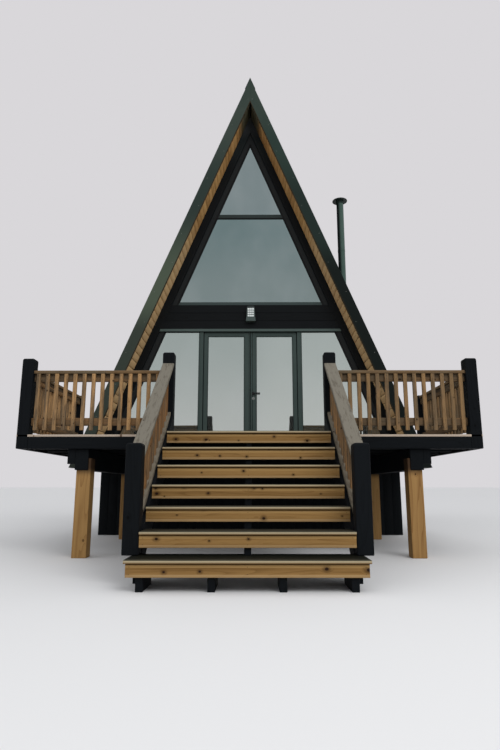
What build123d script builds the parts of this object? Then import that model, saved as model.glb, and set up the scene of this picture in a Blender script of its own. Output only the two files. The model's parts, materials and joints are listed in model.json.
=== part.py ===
from build123d import *

import os
from math import cos, radians, tan

os.makedirs("parts", exist_ok=True)

# A-frame cabin on posts, with a front deck and a straight flight of open steps.
# Millimetres. X is right, Y runs back, Z is up from the ground.
# It is drawn from the front edge of the deck, and each finished piece is then moved back or
# forward, so that the origin is in the middle of the footprint.

# Levels
deck_top = 1400.0
loft_soffit = 2300.0
loft_top = 2500.0

# Roof, measured square to its outer verge plane
ridge_above_deck = 7040.0
roof_half_angle = 22.2
verge_depth = 190.0
verge_upstand = 20.0
lining_thickness = 25.0
roof_foot_below_deck = 300.0
verge_front = 2670.0
bargeboard_thickness = 30.0
ridge_cap_rise = 12.0
ridge_cap_leg = 260.0
flashing_thickness = 4.0

# Gable walls
wall_setback = 420.0
wall_thickness = 160.0
cabin_length = 7000.0
wall_edge = 134.0
frame_edge = 92.0
frame_recess = 30.0
frame_depth = 70.0
glass_recess = 22.0
glass_thickness = 24.0
bead_width = 14.0
bead_recess = 8.0
ground_head = 2197.0
ground_head_rail = 32.0
ground_sill_rail = 80.0
loft_sill = 2649.0
loft_sill_rail = 49.0
transom_low = 4386.0
transom_high = 4445.0

# French doors
mullion_glass_x = 911.0
jamb_outer_x = 896.0
jamb_lip_x = 846.0
jamb_lip_thickness = 20.0
door_gap = 6.0
leaf_edge_x = 866.0
meeting_gap = 10.0
leaf_thickness = 56.0
leaf_rail = 92.0
door_lip_height = 2150.0
threshold_height = 14.0
hinge_offset_y = 8.0
hinge_radius = 7.0
hinge_pin_radius = 3.5
hinge_clearance = 0.05
hinge_seat_gap = 0.3
hinge_height = 45.0
hinge_flag_thickness = 3.0
hinge_flag_width = 24.0
hinge_pin_length = 38.0
hinge_heights = (180.0, 1060.0, 1940.0)
handle_height = 1019.0
handle_x = 56.0
handle_length = 130.0
handle_reach = 55.0
rosette_radius = 26.0
rosette_thickness = 8.0
lever_thickness = 18.0
cylinder_drop = 91.0
cylinder_radius = 15.0

# Cabin floor and what carries it
floor_thickness = 120.0
floor_beam_width = 200.0
floor_beam_depth = 200.0
floor_beam_x = 2350.0
cabin_post_width = 180.0
cabin_post_rows = 4
cabin_post_inset = 20.0
skirt_thickness = 25.0
skirt_inside_floor = 108.0

# Deck
deck_beyond_floor = 73.5
deck_board_thickness = 27.0
beam_depth = 139.0
beam_thickness = 45.0
post_width = 141.0
post_chamfer = 14.0
top_tolerance = 0.5
corner_post_height = 923.0
side_railing_end = 1960.0
side_post_height = 790.0
joist_count = 6
porch_edge_gap = 5.0
girder_width = 156.0
girder_depth = 245.0
girder_outer_x = 2046.0
girder_front = 50.0
cleat_width = 90.0
cleat_thickness = 45.0
cleat_depth = 175.0
deck_post_width = 168.0
deck_post_inner_x = 1858.0
deck_post_cheek = 138.0
deck_post_front = 60.0
deck_post_back = 2300.0

# Railings
cap_width = 90.0
cap_thickness = 40.0
cap_top = 777.0
rail_depth = 92.0
rail_thickness = 40.0
lower_rail_top = 203.0
baluster_width = 45.0
baluster_thickness = 30.0
baluster_foot = 54.0
baluster_pitch = 112.0
railing_face_inset = 30.0

# Steps
tread_count = 7
rise = 193.0
going = 263.0
top_tread_depth = 430.0
tread_thickness = 27.0
tread_depth = 300.0
tread_half_width = 900.0
bottom_tread_overhang = 62.0
riser_height = 104.0
riser_thickness = 25.0
riser_setback = 20.0
bottom_riser_inset = 15.0
cheek_thickness = 70.0
cheek_depth = 300.0
cheek_foot = 190.0
stringer_thickness = 60.0
stringer_waist = 150.0
bearer_width = 60.0
bearer_count = 4
bearer_length = 370.0

# Newels and stair balustrade
newel_beyond_tread = 74.0
upper_newel_height = 998.0
lower_newel_height = 928.0
lower_newel_front = 1726.0
handrail_width = 140.0
handrail_thickness = 40.0
handrail_above_nosing = 546.0
bottom_rail_width = 90.0
bottom_rail_thickness = 40.0
bottom_rail_below_nosing = 48.0
stair_baluster_pitch = 112.0

# Wall lamp
lamp_half_width = 84.0
lamp_bottom = 2344.0
lamp_top = 2612.0
lamp_depth = 100.0
lamp_back_thickness = 20.0
lamp_glass_bottom = 2440.0
lamp_glass_margin = 14.0

# Flue
flue_x = 1834.0
flue_behind_wall = 760.0
flue_radius = 67.0
flue_top = 5127.0
flue_cap_radius = 150.0
flue_cap_rim = 14.0
flue_cap_cone = 46.0
flue_cap_knob = 16.0
flue_collar = 9.0
flue_collar_height = 55.0
flashing_margin = 140.0
flashing_collar = 18.0
roof_cut_depth = 760.0

# Worked out from the sizes above
slope_tan = tan(radians(roof_half_angle))
slope_cos = cos(radians(roof_half_angle))
ridge_z = deck_top + ridge_above_deck
roof_foot_z = deck_top - roof_foot_below_deck
wall_front = verge_front + wall_setback
wall_back = wall_front + cabin_length
verge_back = wall_back + wall_setback
roof_front = verge_front + bargeboard_thickness
roof_back = verge_back - bargeboard_thickness
panel_inner = verge_depth - lining_thickness
frame_outer = verge_depth + wall_edge
glass_edge = frame_outer + frame_edge
boards_underside = deck_top - deck_board_thickness
beam_bottom = boards_underside - beam_depth
stair_slope = rise / going
rake_factor = (1 + stair_slope ** 2) ** 0.5
flight_front = -top_tread_depth - (tread_count - 1) * going
footprint_middle = (flight_front + verge_back) / 2
newel_x = tread_half_width + newel_beyond_tread
bottom_tread_half_width = tread_half_width + bottom_tread_overhang
bottom_riser_half_width = bottom_tread_half_width - bottom_riser_inset
SIDES = {"left": -1, "right": 1}


def roof_x(z, depth):
    """Half width of the cabin at height z, on the plane that lies depth inside the verge."""
    return (ridge_z - z) * slope_tan - depth / slope_cos


def roof_z(x, depth):
    """Height over half width x, on the plane that lies depth inside the verge."""
    return ridge_z - (x + depth / slope_cos) / slope_tan


floor_half_width = roof_x(deck_top, verge_depth)
deck_half_width = floor_half_width + deck_beyond_floor


def facing_front(y):
    """Upright plane across the cabin at y, with its own axes along X and Z."""
    return Plane(origin=(0, y, 0), x_dir=(1, 0, 0), z_dir=(0, -1, 0))


def facing_side(x):
    """Upright plane along the cabin at x, with its own axes along Y and Z."""
    return Plane(origin=(x, 0, 0), x_dir=(0, 1, 0), z_dir=(1, 0, 0))


def gable_prism(points, y_front, y_back, mode=Mode.ADD):
    """Straight solid from y_front to y_back with an outline given across the cabin."""
    with BuildSketch(facing_front(y_front)) as outline:
        Polygon(*points, align=None)
    extrude(outline.sketch, amount=y_back - y_front, dir=(0, 1, 0), mode=mode)


def side_prism(points, x_low, x_high, mode=Mode.ADD):
    """Straight solid from x_low to x_high with an outline given along the cabin."""
    with BuildSketch(facing_side(x_low)) as outline:
        Polygon(*points, align=None)
    extrude(outline.sketch, amount=x_high - x_low, dir=(1, 0, 0), mode=mode)


def block(x_low, x_high, y_low, y_high, z_low, z_high, mode=Mode.ADD):
    """Upright block between two corners."""
    with BuildSketch(Plane.XY.offset(z_low)) as footprint:
        with Locations(((x_low + x_high) / 2, (y_low + y_high) / 2)):
            Rectangle(x_high - x_low, y_high - y_low)
    extrude(footprint.sketch, amount=z_high - z_low, dir=(0, 0, 1), mode=mode)


def chamfer_top(z):
    """Chamfer all round the tops of the posts that end at height z."""
    top_edges = edges().filter_by(Plane.XY).filter_by(lambda edge: abs(edge.center().Z - z) < top_tolerance)
    chamfer(top_edges, post_chamfer)


def pair_block(x_near, x_far, y_low, y_high, z_low, z_high):
    """The same block on the left and on the right."""
    block(-x_far, -x_near, y_low, y_high, z_low, z_high)
    block(x_near, x_far, y_low, y_high, z_low, z_high)


def slope_outline(outer, inner, z_low, side):
    """Outline of a sloping layer between two depths, from z_low up to the middle of the ridge."""
    return [
        (side * roof_x(z_low, outer), z_low),
        (side * roof_x(z_low, inner), z_low),
        (0, roof_z(0, inner)),
        (0, roof_z(0, outer)),
    ]


def between_slopes(depth, z_low, z_high):
    """Outline between the two slopes, from z_low to z_high."""
    return [
        (-roof_x(z_low, depth), z_low),
        (roof_x(z_low, depth), z_low),
        (roof_x(z_high, depth), z_high),
        (-roof_x(z_high, depth), z_high),
    ]


def finish(piece, label):
    """Move a finished piece to the footprint's middle, name it and write its file."""
    placed = piece.part.moved(Location((0, -footprint_middle, 0)))
    placed.label = label
    export_step(placed, f"parts/{label}.step")


# Roof: two metal-clad panels, lined underneath with boards that run on under the verges
for name, side in SIDES.items():
    with BuildPart() as roof_panel:
        gable_prism(slope_outline(verge_upstand, panel_inner, roof_foot_z, side), roof_front, roof_back)
    finish(roof_panel, f"roof_{name}")

    with BuildPart() as lining:
        gable_prism(slope_outline(panel_inner, verge_depth, roof_foot_z, side), roof_front, roof_back)
    finish(lining, f"roof_lining_{name}")

    with BuildPart() as bargeboards:
        barge_outline = slope_outline(0, verge_depth, roof_foot_z, side)
        gable_prism(barge_outline, verge_front, roof_front)
        gable_prism(barge_outline, roof_back, verge_back)
    finish(bargeboards, f"bargeboards_{name}")

# Ridge cap: folded over the two panels and over the points of the bargeboards
cap_foot_z = roof_z(0, -ridge_cap_rise) - ridge_cap_leg * slope_cos


def cap_outline(inner):
    """Outline of the ridge cap, down to the layer that it lies on."""
    return [
        (-roof_x(cap_foot_z, -ridge_cap_rise), cap_foot_z),
        (0, roof_z(0, -ridge_cap_rise)),
        (roof_x(cap_foot_z, -ridge_cap_rise), cap_foot_z),
        (roof_x(cap_foot_z, inner), cap_foot_z),
        (0, roof_z(0, inner)),
        (-roof_x(cap_foot_z, inner), cap_foot_z),
    ]


with BuildPart() as ridge_cap:
    gable_prism(cap_outline(0), verge_front, verge_back)
    gable_prism(cap_outline(verge_upstand), roof_front, roof_back)
finish(ridge_cap, "ridge_cap")

# Gable walls: a sloping strip under each lining and a band between the storeys, front and back
gable_faces = (wall_front, wall_back - wall_thickness)
for name, side in SIDES.items():
    with BuildPart() as gable_wall:
        for y in gable_faces:
            gable_prism(slope_outline(verge_depth, frame_outer, deck_top, side), y, y + wall_thickness)
    finish(gable_wall, f"gable_wall_{name}")

band_low = deck_top + ground_head
band_high = deck_top + loft_sill
with BuildPart() as gable_bands:
    for y in gable_faces:
        gable_prism(between_slopes(frame_outer, band_low, band_high), y, y + wall_thickness)
finish(gable_bands, "gable_bands")

with BuildPart() as rear_panel:
    block(-jamb_outer_x, jamb_outer_x, gable_faces[1], wall_back, deck_top, band_low)
finish(rear_panel, "rear_panel")

# Loft windows: a triangular frame with one transom, front and back
frame_front = wall_front + frame_recess
frame_faces = (frame_front, wall_back - frame_recess - frame_depth)
glass_low = band_high + loft_sill_rail
transom_z = (deck_top + transom_low, deck_top + transom_high)


def lower_pane(inset=0.0):
    """Outline of the lower loft pane, or of the hole inside its glazing bead."""
    return between_slopes(glass_edge + inset, glass_low + inset, transom_z[0] - inset)


def upper_pane(inset=0.0):
    """Outline of the upper loft pane, or of the hole inside its glazing bead."""
    foot = transom_z[1] + inset
    return [
        (-roof_x(foot, glass_edge + inset), foot),
        (roof_x(foot, glass_edge + inset), foot),
        (0, roof_z(0, glass_edge + inset)),
    ]


window_outline = [
    (-roof_x(band_high, frame_outer), band_high),
    (roof_x(band_high, frame_outer), band_high),
    (0, roof_z(0, frame_outer)),
]
with BuildPart() as loft_windows:
    for y in frame_faces:
        gable_prism(window_outline, y, y + frame_depth)
        for pane_outline in (lower_pane, upper_pane):
            gable_prism(pane_outline(), y, y + frame_depth, mode=Mode.SUBTRACT)
            gable_prism(pane_outline(), y + bead_recess, y + glass_recess)
            gable_prism(pane_outline(bead_width), y + bead_recess, y + glass_recess, mode=Mode.SUBTRACT)
finish(loft_windows, "loft_windows")

glass_faces = (frame_front + glass_recess, frame_faces[1] + glass_recess)
with BuildPart() as loft_glass:
    for y in glass_faces:
        gable_prism(lower_pane(), y, y + glass_thickness)
        gable_prism(upper_pane(), y, y + glass_thickness)
finish(loft_glass, "loft_glass")

# Sidelights: slanted frames beside the doors, repeated in the rear gable
side_glass_z = (deck_top + ground_sill_rail, band_low - ground_head_rail)


def sidelight_outline(inner_x, depth, z_low, z_high, side):
    """Upright on the door's side, slanted with the roof on the other."""
    return [
        (side * inner_x, z_low),
        (side * roof_x(z_low, depth), z_low),
        (side * roof_x(z_high, depth), z_high),
        (side * inner_x, z_high),
    ]


def side_pane(side, inset=0.0):
    """Outline of a sidelight's pane, or of the hole inside its glazing bead."""
    return sidelight_outline(mullion_glass_x + inset, glass_edge + inset,
                             side_glass_z[0] + inset, side_glass_z[1] - inset, side)


with BuildPart() as sidelight_frames:
    for y in frame_faces:
        for side in SIDES.values():
            gable_prism(sidelight_outline(jamb_outer_x, frame_outer, deck_top, band_low, side),
                        y, y + frame_depth)
            gable_prism(side_pane(side), y, y + frame_depth, mode=Mode.SUBTRACT)
            gable_prism(side_pane(side), y + bead_recess, y + glass_recess)
            gable_prism(side_pane(side, bead_width), y + bead_recess, y + glass_recess, mode=Mode.SUBTRACT)
finish(sidelight_frames, "sidelight_frames")

with BuildPart() as sidelight_glass:
    for y in glass_faces:
        for side in SIDES.values():
            gable_prism(side_pane(side), y, y + glass_thickness)
finish(sidelight_glass, "sidelight_glass")

# Door frame: jambs and head with a lip outside, which the leaves close behind, and a threshold
leaf_front = frame_front + jamb_lip_thickness + door_gap
leaf_back = leaf_front + leaf_thickness
leaf_top = deck_top + door_lip_height + leaf_edge_x - jamb_lip_x
leaf_bottom = deck_top + threshold_height + door_gap
rebate_x = leaf_edge_x + door_gap
with BuildPart() as door_frame:
    block(-jamb_outer_x, jamb_outer_x, frame_front, leaf_back, deck_top, band_low)
    block(-jamb_lip_x, jamb_lip_x, frame_front, leaf_back,
          deck_top + threshold_height, deck_top + door_lip_height, mode=Mode.SUBTRACT)
    block(-rebate_x, rebate_x, frame_front + jamb_lip_thickness, leaf_back,
          deck_top + threshold_height, leaf_top + door_gap, mode=Mode.SUBTRACT)
finish(door_frame, "door_frame")

# Door leaves: glazed frames hung inside the lip, opening inwards
for name, side in SIDES.items():
    x_low, x_high = sorted((side * meeting_gap / 2, side * leaf_edge_x))
    pane = (x_low + leaf_rail, x_high - leaf_rail)
    pane_z = (leaf_bottom + leaf_rail, leaf_top - leaf_rail)
    pane_front = leaf_front + (leaf_thickness - glass_thickness) / 2
    with BuildPart() as door_leaf:
        block(x_low, x_high, leaf_front, leaf_back, leaf_bottom, leaf_top)
        block(*pane, leaf_front, leaf_back, *pane_z, mode=Mode.SUBTRACT)
        block(*pane, leaf_front + bead_recess, pane_front, *pane_z)
        block(pane[0] + bead_width, pane[1] - bead_width, leaf_front + bead_recess, pane_front,
              pane_z[0] + bead_width, pane_z[1] - bead_width, mode=Mode.SUBTRACT)
    finish(door_leaf, f"door_leaf_{name}")

    with BuildPart() as door_glass:
        block(*pane, pane_front, pane_front + glass_thickness, *pane_z)
    finish(door_glass, f"door_glass_{name}")

# Hinges: a pin standing on each jamb's flag, and a barrel on the leaf that turns on it
hinge_x = leaf_edge_x + door_gap / 2
hinge_y = leaf_back + hinge_offset_y


def upright_rod(x, y, z_low, height, radius, mode=Mode.ADD):
    """Round upright rod."""
    with BuildSketch(Plane.XY.offset(z_low)) as disc:
        with Locations((x, y)):
            Circle(radius)
    extrude(disc.sketch, amount=height, dir=(0, 0, 1), mode=mode)


def hinge_flag(x_from, x_to, z_low):
    """Thin plate between the barrel and the jamb or leaf that it is screwed to."""
    block(min(x_from, x_to), max(x_from, x_to), leaf_back, leaf_back + hinge_flag_thickness,
          z_low, z_low + hinge_height)


with BuildPart() as hinge_pins:
    for side in SIDES.values():
        for z in hinge_heights:
            low = deck_top + z
            upright_rod(side * hinge_x, hinge_y, low, hinge_height, hinge_radius)
            upright_rod(side * hinge_x, hinge_y, low, hinge_height + hinge_pin_length, hinge_pin_radius)
            hinge_flag(side * hinge_x, side * (hinge_x + hinge_flag_width), low)
finish(hinge_pins, "hinge_pins")

for name, side in SIDES.items():
    with BuildPart() as hinge_barrels:
        for z in hinge_heights:
            low = deck_top + z + hinge_height + hinge_seat_gap
            upright_rod(side * hinge_x, hinge_y, low, hinge_height, hinge_radius)
            hinge_flag(side * hinge_x, side * (hinge_x - hinge_flag_width), low)
            upright_rod(side * hinge_x, hinge_y, low, hinge_pin_length,
                        hinge_pin_radius + hinge_clearance, mode=Mode.SUBTRACT)
    finish(hinge_barrels, f"hinge_barrels_{name}")

# Door handle: a lever, a round plate and a lock plate, outside and inside the right leaf
handle_z = deck_top + handle_height
with BuildPart() as door_handle:
    for face, outward in ((leaf_front, -1), (leaf_back, 1)):
        plate_plane = Plane(origin=(handle_x, face, handle_z), x_dir=(1, 0, 0), z_dir=(0, outward, 0))
        with BuildSketch(plate_plane):
            Circle(rosette_radius)
        extrude(amount=rosette_thickness)
        neck = handle_reach - lever_thickness
        with BuildSketch(plate_plane):
            Circle(lever_thickness / 2)
        extrude(amount=neck)
        lever_plane = Plane(origin=(handle_x, face + outward * neck, handle_z),
                            x_dir=(1, 0, 0), z_dir=(0, outward, 0))
        with BuildSketch(lever_plane):
            with Locations((handle_length / 2 - lever_thickness / 2, 0)):
                SlotOverall(handle_length, lever_thickness)
        extrude(amount=lever_thickness)
        lock_plane = Plane(origin=(handle_x, face, handle_z - cylinder_drop),
                           x_dir=(1, 0, 0), z_dir=(0, outward, 0))
        with BuildSketch(lock_plane):
            Circle(cylinder_radius)
        extrude(amount=rosette_thickness)
finish(door_handle, "door_handle")

# Floors
with BuildPart() as cabin_floor:
    gable_prism(between_slopes(verge_depth, deck_top - floor_thickness, deck_top), wall_front, wall_back)
finish(cabin_floor, "cabin_floor")

with BuildPart() as loft_floor:
    gable_prism(between_slopes(verge_depth, deck_top + loft_soffit, deck_top + loft_top),
                wall_front + wall_thickness, wall_back - wall_thickness)
finish(loft_floor, "loft_floor")

# Floor beams on rows of posts
beam_top = deck_top - floor_thickness
with BuildPart() as floor_beams:
    for x in (-floor_beam_x, 0, floor_beam_x):
        block(x - floor_beam_width / 2, x + floor_beam_width / 2, wall_front, wall_back,
              beam_top - floor_beam_depth, beam_top)
finish(floor_beams, "floor_beams")

post_half = cabin_post_width / 2
first_post = wall_front + cabin_post_inset + post_half
post_spacing = (cabin_length - 2 * cabin_post_inset - cabin_post_width) / (cabin_post_rows - 1)
with BuildPart() as cabin_posts:
    for row in range(cabin_post_rows):
        y = first_post + row * post_spacing
        for x in (-floor_beam_x, 0, floor_beam_x):
            block(x - post_half, x + post_half, y - post_half, y + post_half,
                  0, beam_top - floor_beam_depth)
finish(cabin_posts, "cabin_posts")

skirt_half_width = floor_half_width - skirt_inside_floor
with BuildPart() as front_skirt:
    block(-skirt_half_width, skirt_half_width, wall_front - skirt_thickness, wall_front,
          0, boards_underside)
finish(front_skirt, "front_skirt")

# Railing posts: at the deck's corners and at the ends of the side railings
post_inner_x = deck_half_width - post_width
newel_inner = newel_x - post_width / 2
newel_outer = newel_x + post_width / 2
with BuildPart() as rail_posts:
    pair_block(post_inner_x, deck_half_width, 0, post_width, beam_bottom, deck_top + corner_post_height)
    pair_block(post_inner_x, deck_half_width, side_railing_end, side_railing_end + post_width,
               beam_bottom, deck_top + side_post_height)
    chamfer_top(deck_top + corner_post_height)
    chamfer_top(deck_top + side_post_height)
finish(rail_posts, "rail_posts")

# Newels: two beside the top of the steps, two standing on the bottom tread
newel_base = deck_top - (tread_count - 1) * rise
newel_back = -lower_newel_front + post_width
with BuildPart() as newels:
    pair_block(newel_inner, newel_outer, 0, post_width, beam_bottom, deck_top + upper_newel_height)
    pair_block(newel_inner, newel_outer, -lower_newel_front, newel_back,
               newel_base, newel_base + lower_newel_height)
    chamfer_top(deck_top + upper_newel_height)
    chamfer_top(newel_base + lower_newel_height)
finish(newels, "newels")

# Deck boards: one layer, notched round the posts, running on between the slopes to the wall
porch_half = floor_half_width - porch_edge_gap
with BuildPart() as deck_boards:
    block(-deck_half_width, deck_half_width, 0, verge_front, boards_underside, deck_top)
    block(-porch_half, porch_half, verge_front, wall_front, boards_underside, deck_top)
    for x in (-deck_half_width, post_inner_x):
        for y in (0, side_railing_end):
            block(x, x + post_width, y, y + post_width, boards_underside, deck_top, mode=Mode.SUBTRACT)
    for x in (-newel_outer, newel_inner):
        block(x, x + post_width, 0, post_width, boards_underside, deck_top, mode=Mode.SUBTRACT)
finish(deck_boards, "deck_boards")

# Edge beams between the posts
edge_inner = deck_half_width - beam_thickness
with BuildPart() as edge_beams:
    pair_block(newel_outer, post_inner_x, 0, beam_thickness, beam_bottom, boards_underside)
    block(-newel_inner, newel_inner, 0, beam_thickness, beam_bottom, boards_underside)
    pair_block(edge_inner, deck_half_width, post_width, side_railing_end, beam_bottom, boards_underside)
    pair_block(edge_inner, deck_half_width, side_railing_end + post_width, verge_front,
               beam_bottom, boards_underside)
finish(edge_beams, "edge_beams")

# Joists across the deck, and one under the porch
joist_last = verge_front - beam_thickness
joist_spacing = (joist_last - post_width) / (joist_count - 1)
porch_joist = wall_front - skirt_thickness - beam_thickness
with BuildPart() as deck_joists:
    for step in range(joist_count):
        y = post_width + step * joist_spacing
        block(-post_inner_x, post_inner_x, y, y + beam_thickness, beam_bottom, boards_underside)
    block(-skirt_half_width, skirt_half_width, porch_joist, porch_joist + beam_thickness,
          beam_bottom, boards_underside)
finish(deck_joists, "deck_joists")

# Girders under the joists, on posts with a cheek that rises beside the girder
girder_inner_x = girder_outer_x - girder_width
girder_bottom = beam_bottom - girder_depth
with BuildPart() as deck_girders:
    pair_block(girder_inner_x, girder_outer_x, girder_front, porch_joist + beam_thickness,
               girder_bottom, beam_bottom)
finish(deck_girders, "deck_girders")

with BuildPart() as girder_cleats:
    pair_block(girder_outer_x, girder_outer_x + cleat_width, girder_front, girder_front + cleat_thickness,
               beam_bottom - cleat_depth, beam_bottom)
finish(girder_cleats, "girder_cleats")

with BuildPart() as deck_posts:
    for y in (deck_post_front, deck_post_back):
        pair_block(deck_post_inner_x, deck_post_inner_x + deck_post_width, y, y + deck_post_width,
                   0, girder_bottom)
        pair_block(deck_post_inner_x, girder_inner_x, y, y + deck_post_width,
                   girder_bottom, girder_bottom + deck_post_cheek)
finish(deck_posts, "deck_posts")

# Railings of the deck: cap rails, and upright balusters nailed outside two flat rails
cap_inset = (post_width - cap_width) / 2
cap_z = (deck_top + cap_top - cap_thickness, deck_top + cap_top)
with BuildPart() as cap_rails:
    pair_block(newel_outer, post_inner_x, cap_inset, cap_inset + cap_width, *cap_z)
    pair_block(deck_half_width - cap_inset - cap_width, deck_half_width - cap_inset,
               post_width, side_railing_end, *cap_z)
finish(cap_rails, "cap_rails")

rail_inset = railing_face_inset + baluster_thickness
rail_levels = (cap_z[0] - rail_depth, deck_top + lower_rail_top - rail_depth)


def spread(low, high, pitch):
    """Centres of an even row between two posts, near the given pitch."""
    count = round((high - low) / pitch)
    step = (high - low) / count
    return [low + (place + 0.5) * step for place in range(count)]


with BuildPart() as front_balusters:
    for z in rail_levels:
        pair_block(newel_outer, post_inner_x, rail_inset, rail_inset + rail_thickness, z, z + rail_depth)
    for x in spread(newel_outer, post_inner_x, baluster_pitch):
        pair_block(x - baluster_width / 2, x + baluster_width / 2,
                   railing_face_inset, rail_inset, deck_top + baluster_foot, cap_z[0])
finish(front_balusters, "front_balusters")

side_face = deck_half_width - railing_face_inset
with BuildPart() as side_balusters:
    for z in rail_levels:
        pair_block(side_face - baluster_thickness - rail_thickness, side_face - baluster_thickness,
                   post_width, side_railing_end, z, z + rail_depth)
    for y in spread(post_width, side_railing_end, baluster_pitch):
        pair_block(side_face - baluster_thickness, side_face,
                   y - baluster_width / 2, y + baluster_width / 2, deck_top + baluster_foot, cap_z[0])
finish(side_balusters, "side_balusters")


# Steps
def nosing_y(number):
    """Front edge of a tread, counted from the top one, which is number 0."""
    return -top_tread_depth - number * going


def tread_z(number):
    """Top of a tread, counted from the top one."""
    return deck_top - number * rise


def nosing_line(y, above=0.0):
    """Height at y of a line parallel to the nosings."""
    return deck_top + (y + top_tread_depth) * stair_slope + above


bottom_tread = tread_count - 1
with BuildPart() as stair_treads:
    block(-tread_half_width, tread_half_width, nosing_y(0), 0, deck_top - tread_thickness, deck_top)
    for number in range(1, bottom_tread):
        block(-tread_half_width, tread_half_width, nosing_y(number), nosing_y(number) + tread_depth,
              tread_z(number) - tread_thickness, tread_z(number))
    block(-bottom_tread_half_width, bottom_tread_half_width,
          nosing_y(bottom_tread), newel_back,
          tread_z(bottom_tread) - tread_thickness, tread_z(bottom_tread))
finish(stair_treads, "stair_treads")

with BuildPart() as riser_boards:
    for number in range(tread_count):
        half = bottom_riser_half_width if number == bottom_tread else tread_half_width
        y = nosing_y(number) + riser_setback
        z = tread_z(number) - tread_thickness
        block(-half, half, y, y + riser_thickness, z - riser_height, z)
finish(riser_boards, "riser_boards")

# Cheeks: closed strings between the newels, with a foot on the ground
cheek_top = -bottom_rail_below_nosing - bottom_rail_thickness * rake_factor
with BuildPart() as stair_cheeks:
    rake = cheek_depth * rake_factor
    foot_back = newel_back + cheek_foot
    cheek_outline = [
        (0, nosing_line(0, cheek_top)),
        (newel_back, nosing_line(newel_back, cheek_top)),
        (newel_back, 0),
        (foot_back, 0),
        (foot_back, nosing_line(foot_back, cheek_top) - rake),
        (0, nosing_line(0, cheek_top) - rake),
    ]
    side_prism(cheek_outline, -tread_half_width - cheek_thickness, -tread_half_width)
    side_prism(cheek_outline, tread_half_width, tread_half_width + cheek_thickness)
finish(stair_cheeks, "stair_cheeks")

# Middle string: cut to the steps, so that each tread sits on it, and standing on the bottom one
seat_back = riser_setback + riser_thickness
waist_line = -rise - stringer_waist


def waist_y(z):
    """Where the underside of the middle string reaches height z."""
    return (z - waist_line - deck_top) / stair_slope - top_tread_depth


with BuildPart() as middle_string:
    cut_outline = [(0, tread_z(0) - tread_thickness)]
    for number in range(bottom_tread):
        seat = tread_z(number) - tread_thickness
        foot = max(seat - rise, tread_z(bottom_tread))
        cut_outline.append((nosing_y(number) + seat_back, seat))
        cut_outline.append((nosing_y(number) + seat_back, foot))
    cut_outline.append((waist_y(tread_z(bottom_tread)), tread_z(bottom_tread)))
    cut_outline.append((waist_y(beam_bottom), beam_bottom))
    cut_outline.append((0, beam_bottom))
    side_prism(cut_outline, -stringer_thickness / 2, stringer_thickness / 2)
finish(middle_string, "middle_string")

# Bearers on the ground under the bottom tread
bearer_front = nosing_y(bottom_tread) + riser_setback + riser_thickness
bearer_span = 2 * (tread_half_width - bearer_width)
with BuildPart() as step_bearers:
    for place in range(bearer_count):
        x = -bearer_span / 2 + place * bearer_span / (bearer_count - 1)
        block(x - bearer_width / 2, x + bearer_width / 2, bearer_front, bearer_front + bearer_length,
              0, tread_z(bottom_tread) - tread_thickness)
finish(step_bearers, "step_bearers")


# Stair balustrade: a wide handrail, a flat bottom rail and upright balusters between them
def raking_rail(top, thickness, x_low, x_high, mode=Mode.ADD):
    """Board laid along the flight between the newels, with upright ends."""
    drop = thickness * rake_factor
    side_prism(
        [
            (newel_back, nosing_line(newel_back, top)),
            (0, nosing_line(0, top)),
            (0, nosing_line(0, top) - drop),
            (newel_back, nosing_line(newel_back, top) - drop),
        ],
        x_low, x_high, mode=mode,
    )


with BuildPart() as handrails:
    for side in SIDES.values():
        centre = side * newel_x
        raking_rail(handrail_above_nosing, handrail_thickness,
                    centre - handrail_width / 2, centre + handrail_width / 2)
finish(handrails, "handrails")

handrail_drop = handrail_thickness * rake_factor
with BuildPart() as stair_balusters:
    for side in SIDES.values():
        centre = side * newel_x
        raking_rail(-bottom_rail_below_nosing, bottom_rail_thickness,
                    centre - bottom_rail_width / 2, centre + bottom_rail_width / 2)
        for y in spread(newel_back, 0, stair_baluster_pitch):
            front = y - baluster_width / 2
            back = y + baluster_width / 2
            low = -bottom_rail_below_nosing
            high = handrail_above_nosing - handrail_drop
            side_prism(
                [
                    (front, nosing_line(front, low)),
                    (back, nosing_line(back, low)),
                    (back, nosing_line(back, high)),
                    (front, nosing_line(front, high)),
                ],
                centre - baluster_thickness / 2, centre + baluster_thickness / 2,
            )
finish(stair_balusters, "stair_balusters")

# Wall lamp on the band
with BuildPart() as wall_lamp:
    block(-lamp_half_width, lamp_half_width, wall_front - lamp_back_thickness, wall_front,
          deck_top + lamp_bottom, deck_top + lamp_top)
    block(-lamp_half_width, lamp_half_width, wall_front - lamp_depth, wall_front - lamp_back_thickness,
          deck_top + lamp_bottom, deck_top + lamp_glass_bottom)
finish(wall_lamp, "wall_lamp")

with BuildPart() as lamp_glass:
    block(-lamp_half_width + lamp_glass_margin, lamp_half_width - lamp_glass_margin,
          wall_front - lamp_depth + lamp_glass_margin, wall_front - lamp_back_thickness,
          deck_top + lamp_glass_bottom, deck_top + lamp_top - lamp_glass_margin)
finish(lamp_glass, "lamp_glass")

# Flue: a pipe standing on the right slope, with a flashing and a rimmed cap
flue_y = wall_front + flue_behind_wall
flue_top_z = deck_top + flue_top
flue_foot_z = roof_z(flue_x, verge_upstand) - flue_radius / slope_tan - flashing_margin
under_roof = slope_outline(verge_upstand, roof_cut_depth, roof_foot_z, 1)
with BuildPart() as flue_pipe:
    with BuildSketch(Plane.XY.offset(flue_foot_z)):
        with Locations((flue_x, flue_y)):
            Circle(flue_radius)
    extrude(amount=flue_top_z - flue_foot_z)
    gable_prism(under_roof, roof_front, roof_back, mode=Mode.SUBTRACT)
finish(flue_pipe, "flue_pipe")

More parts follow.
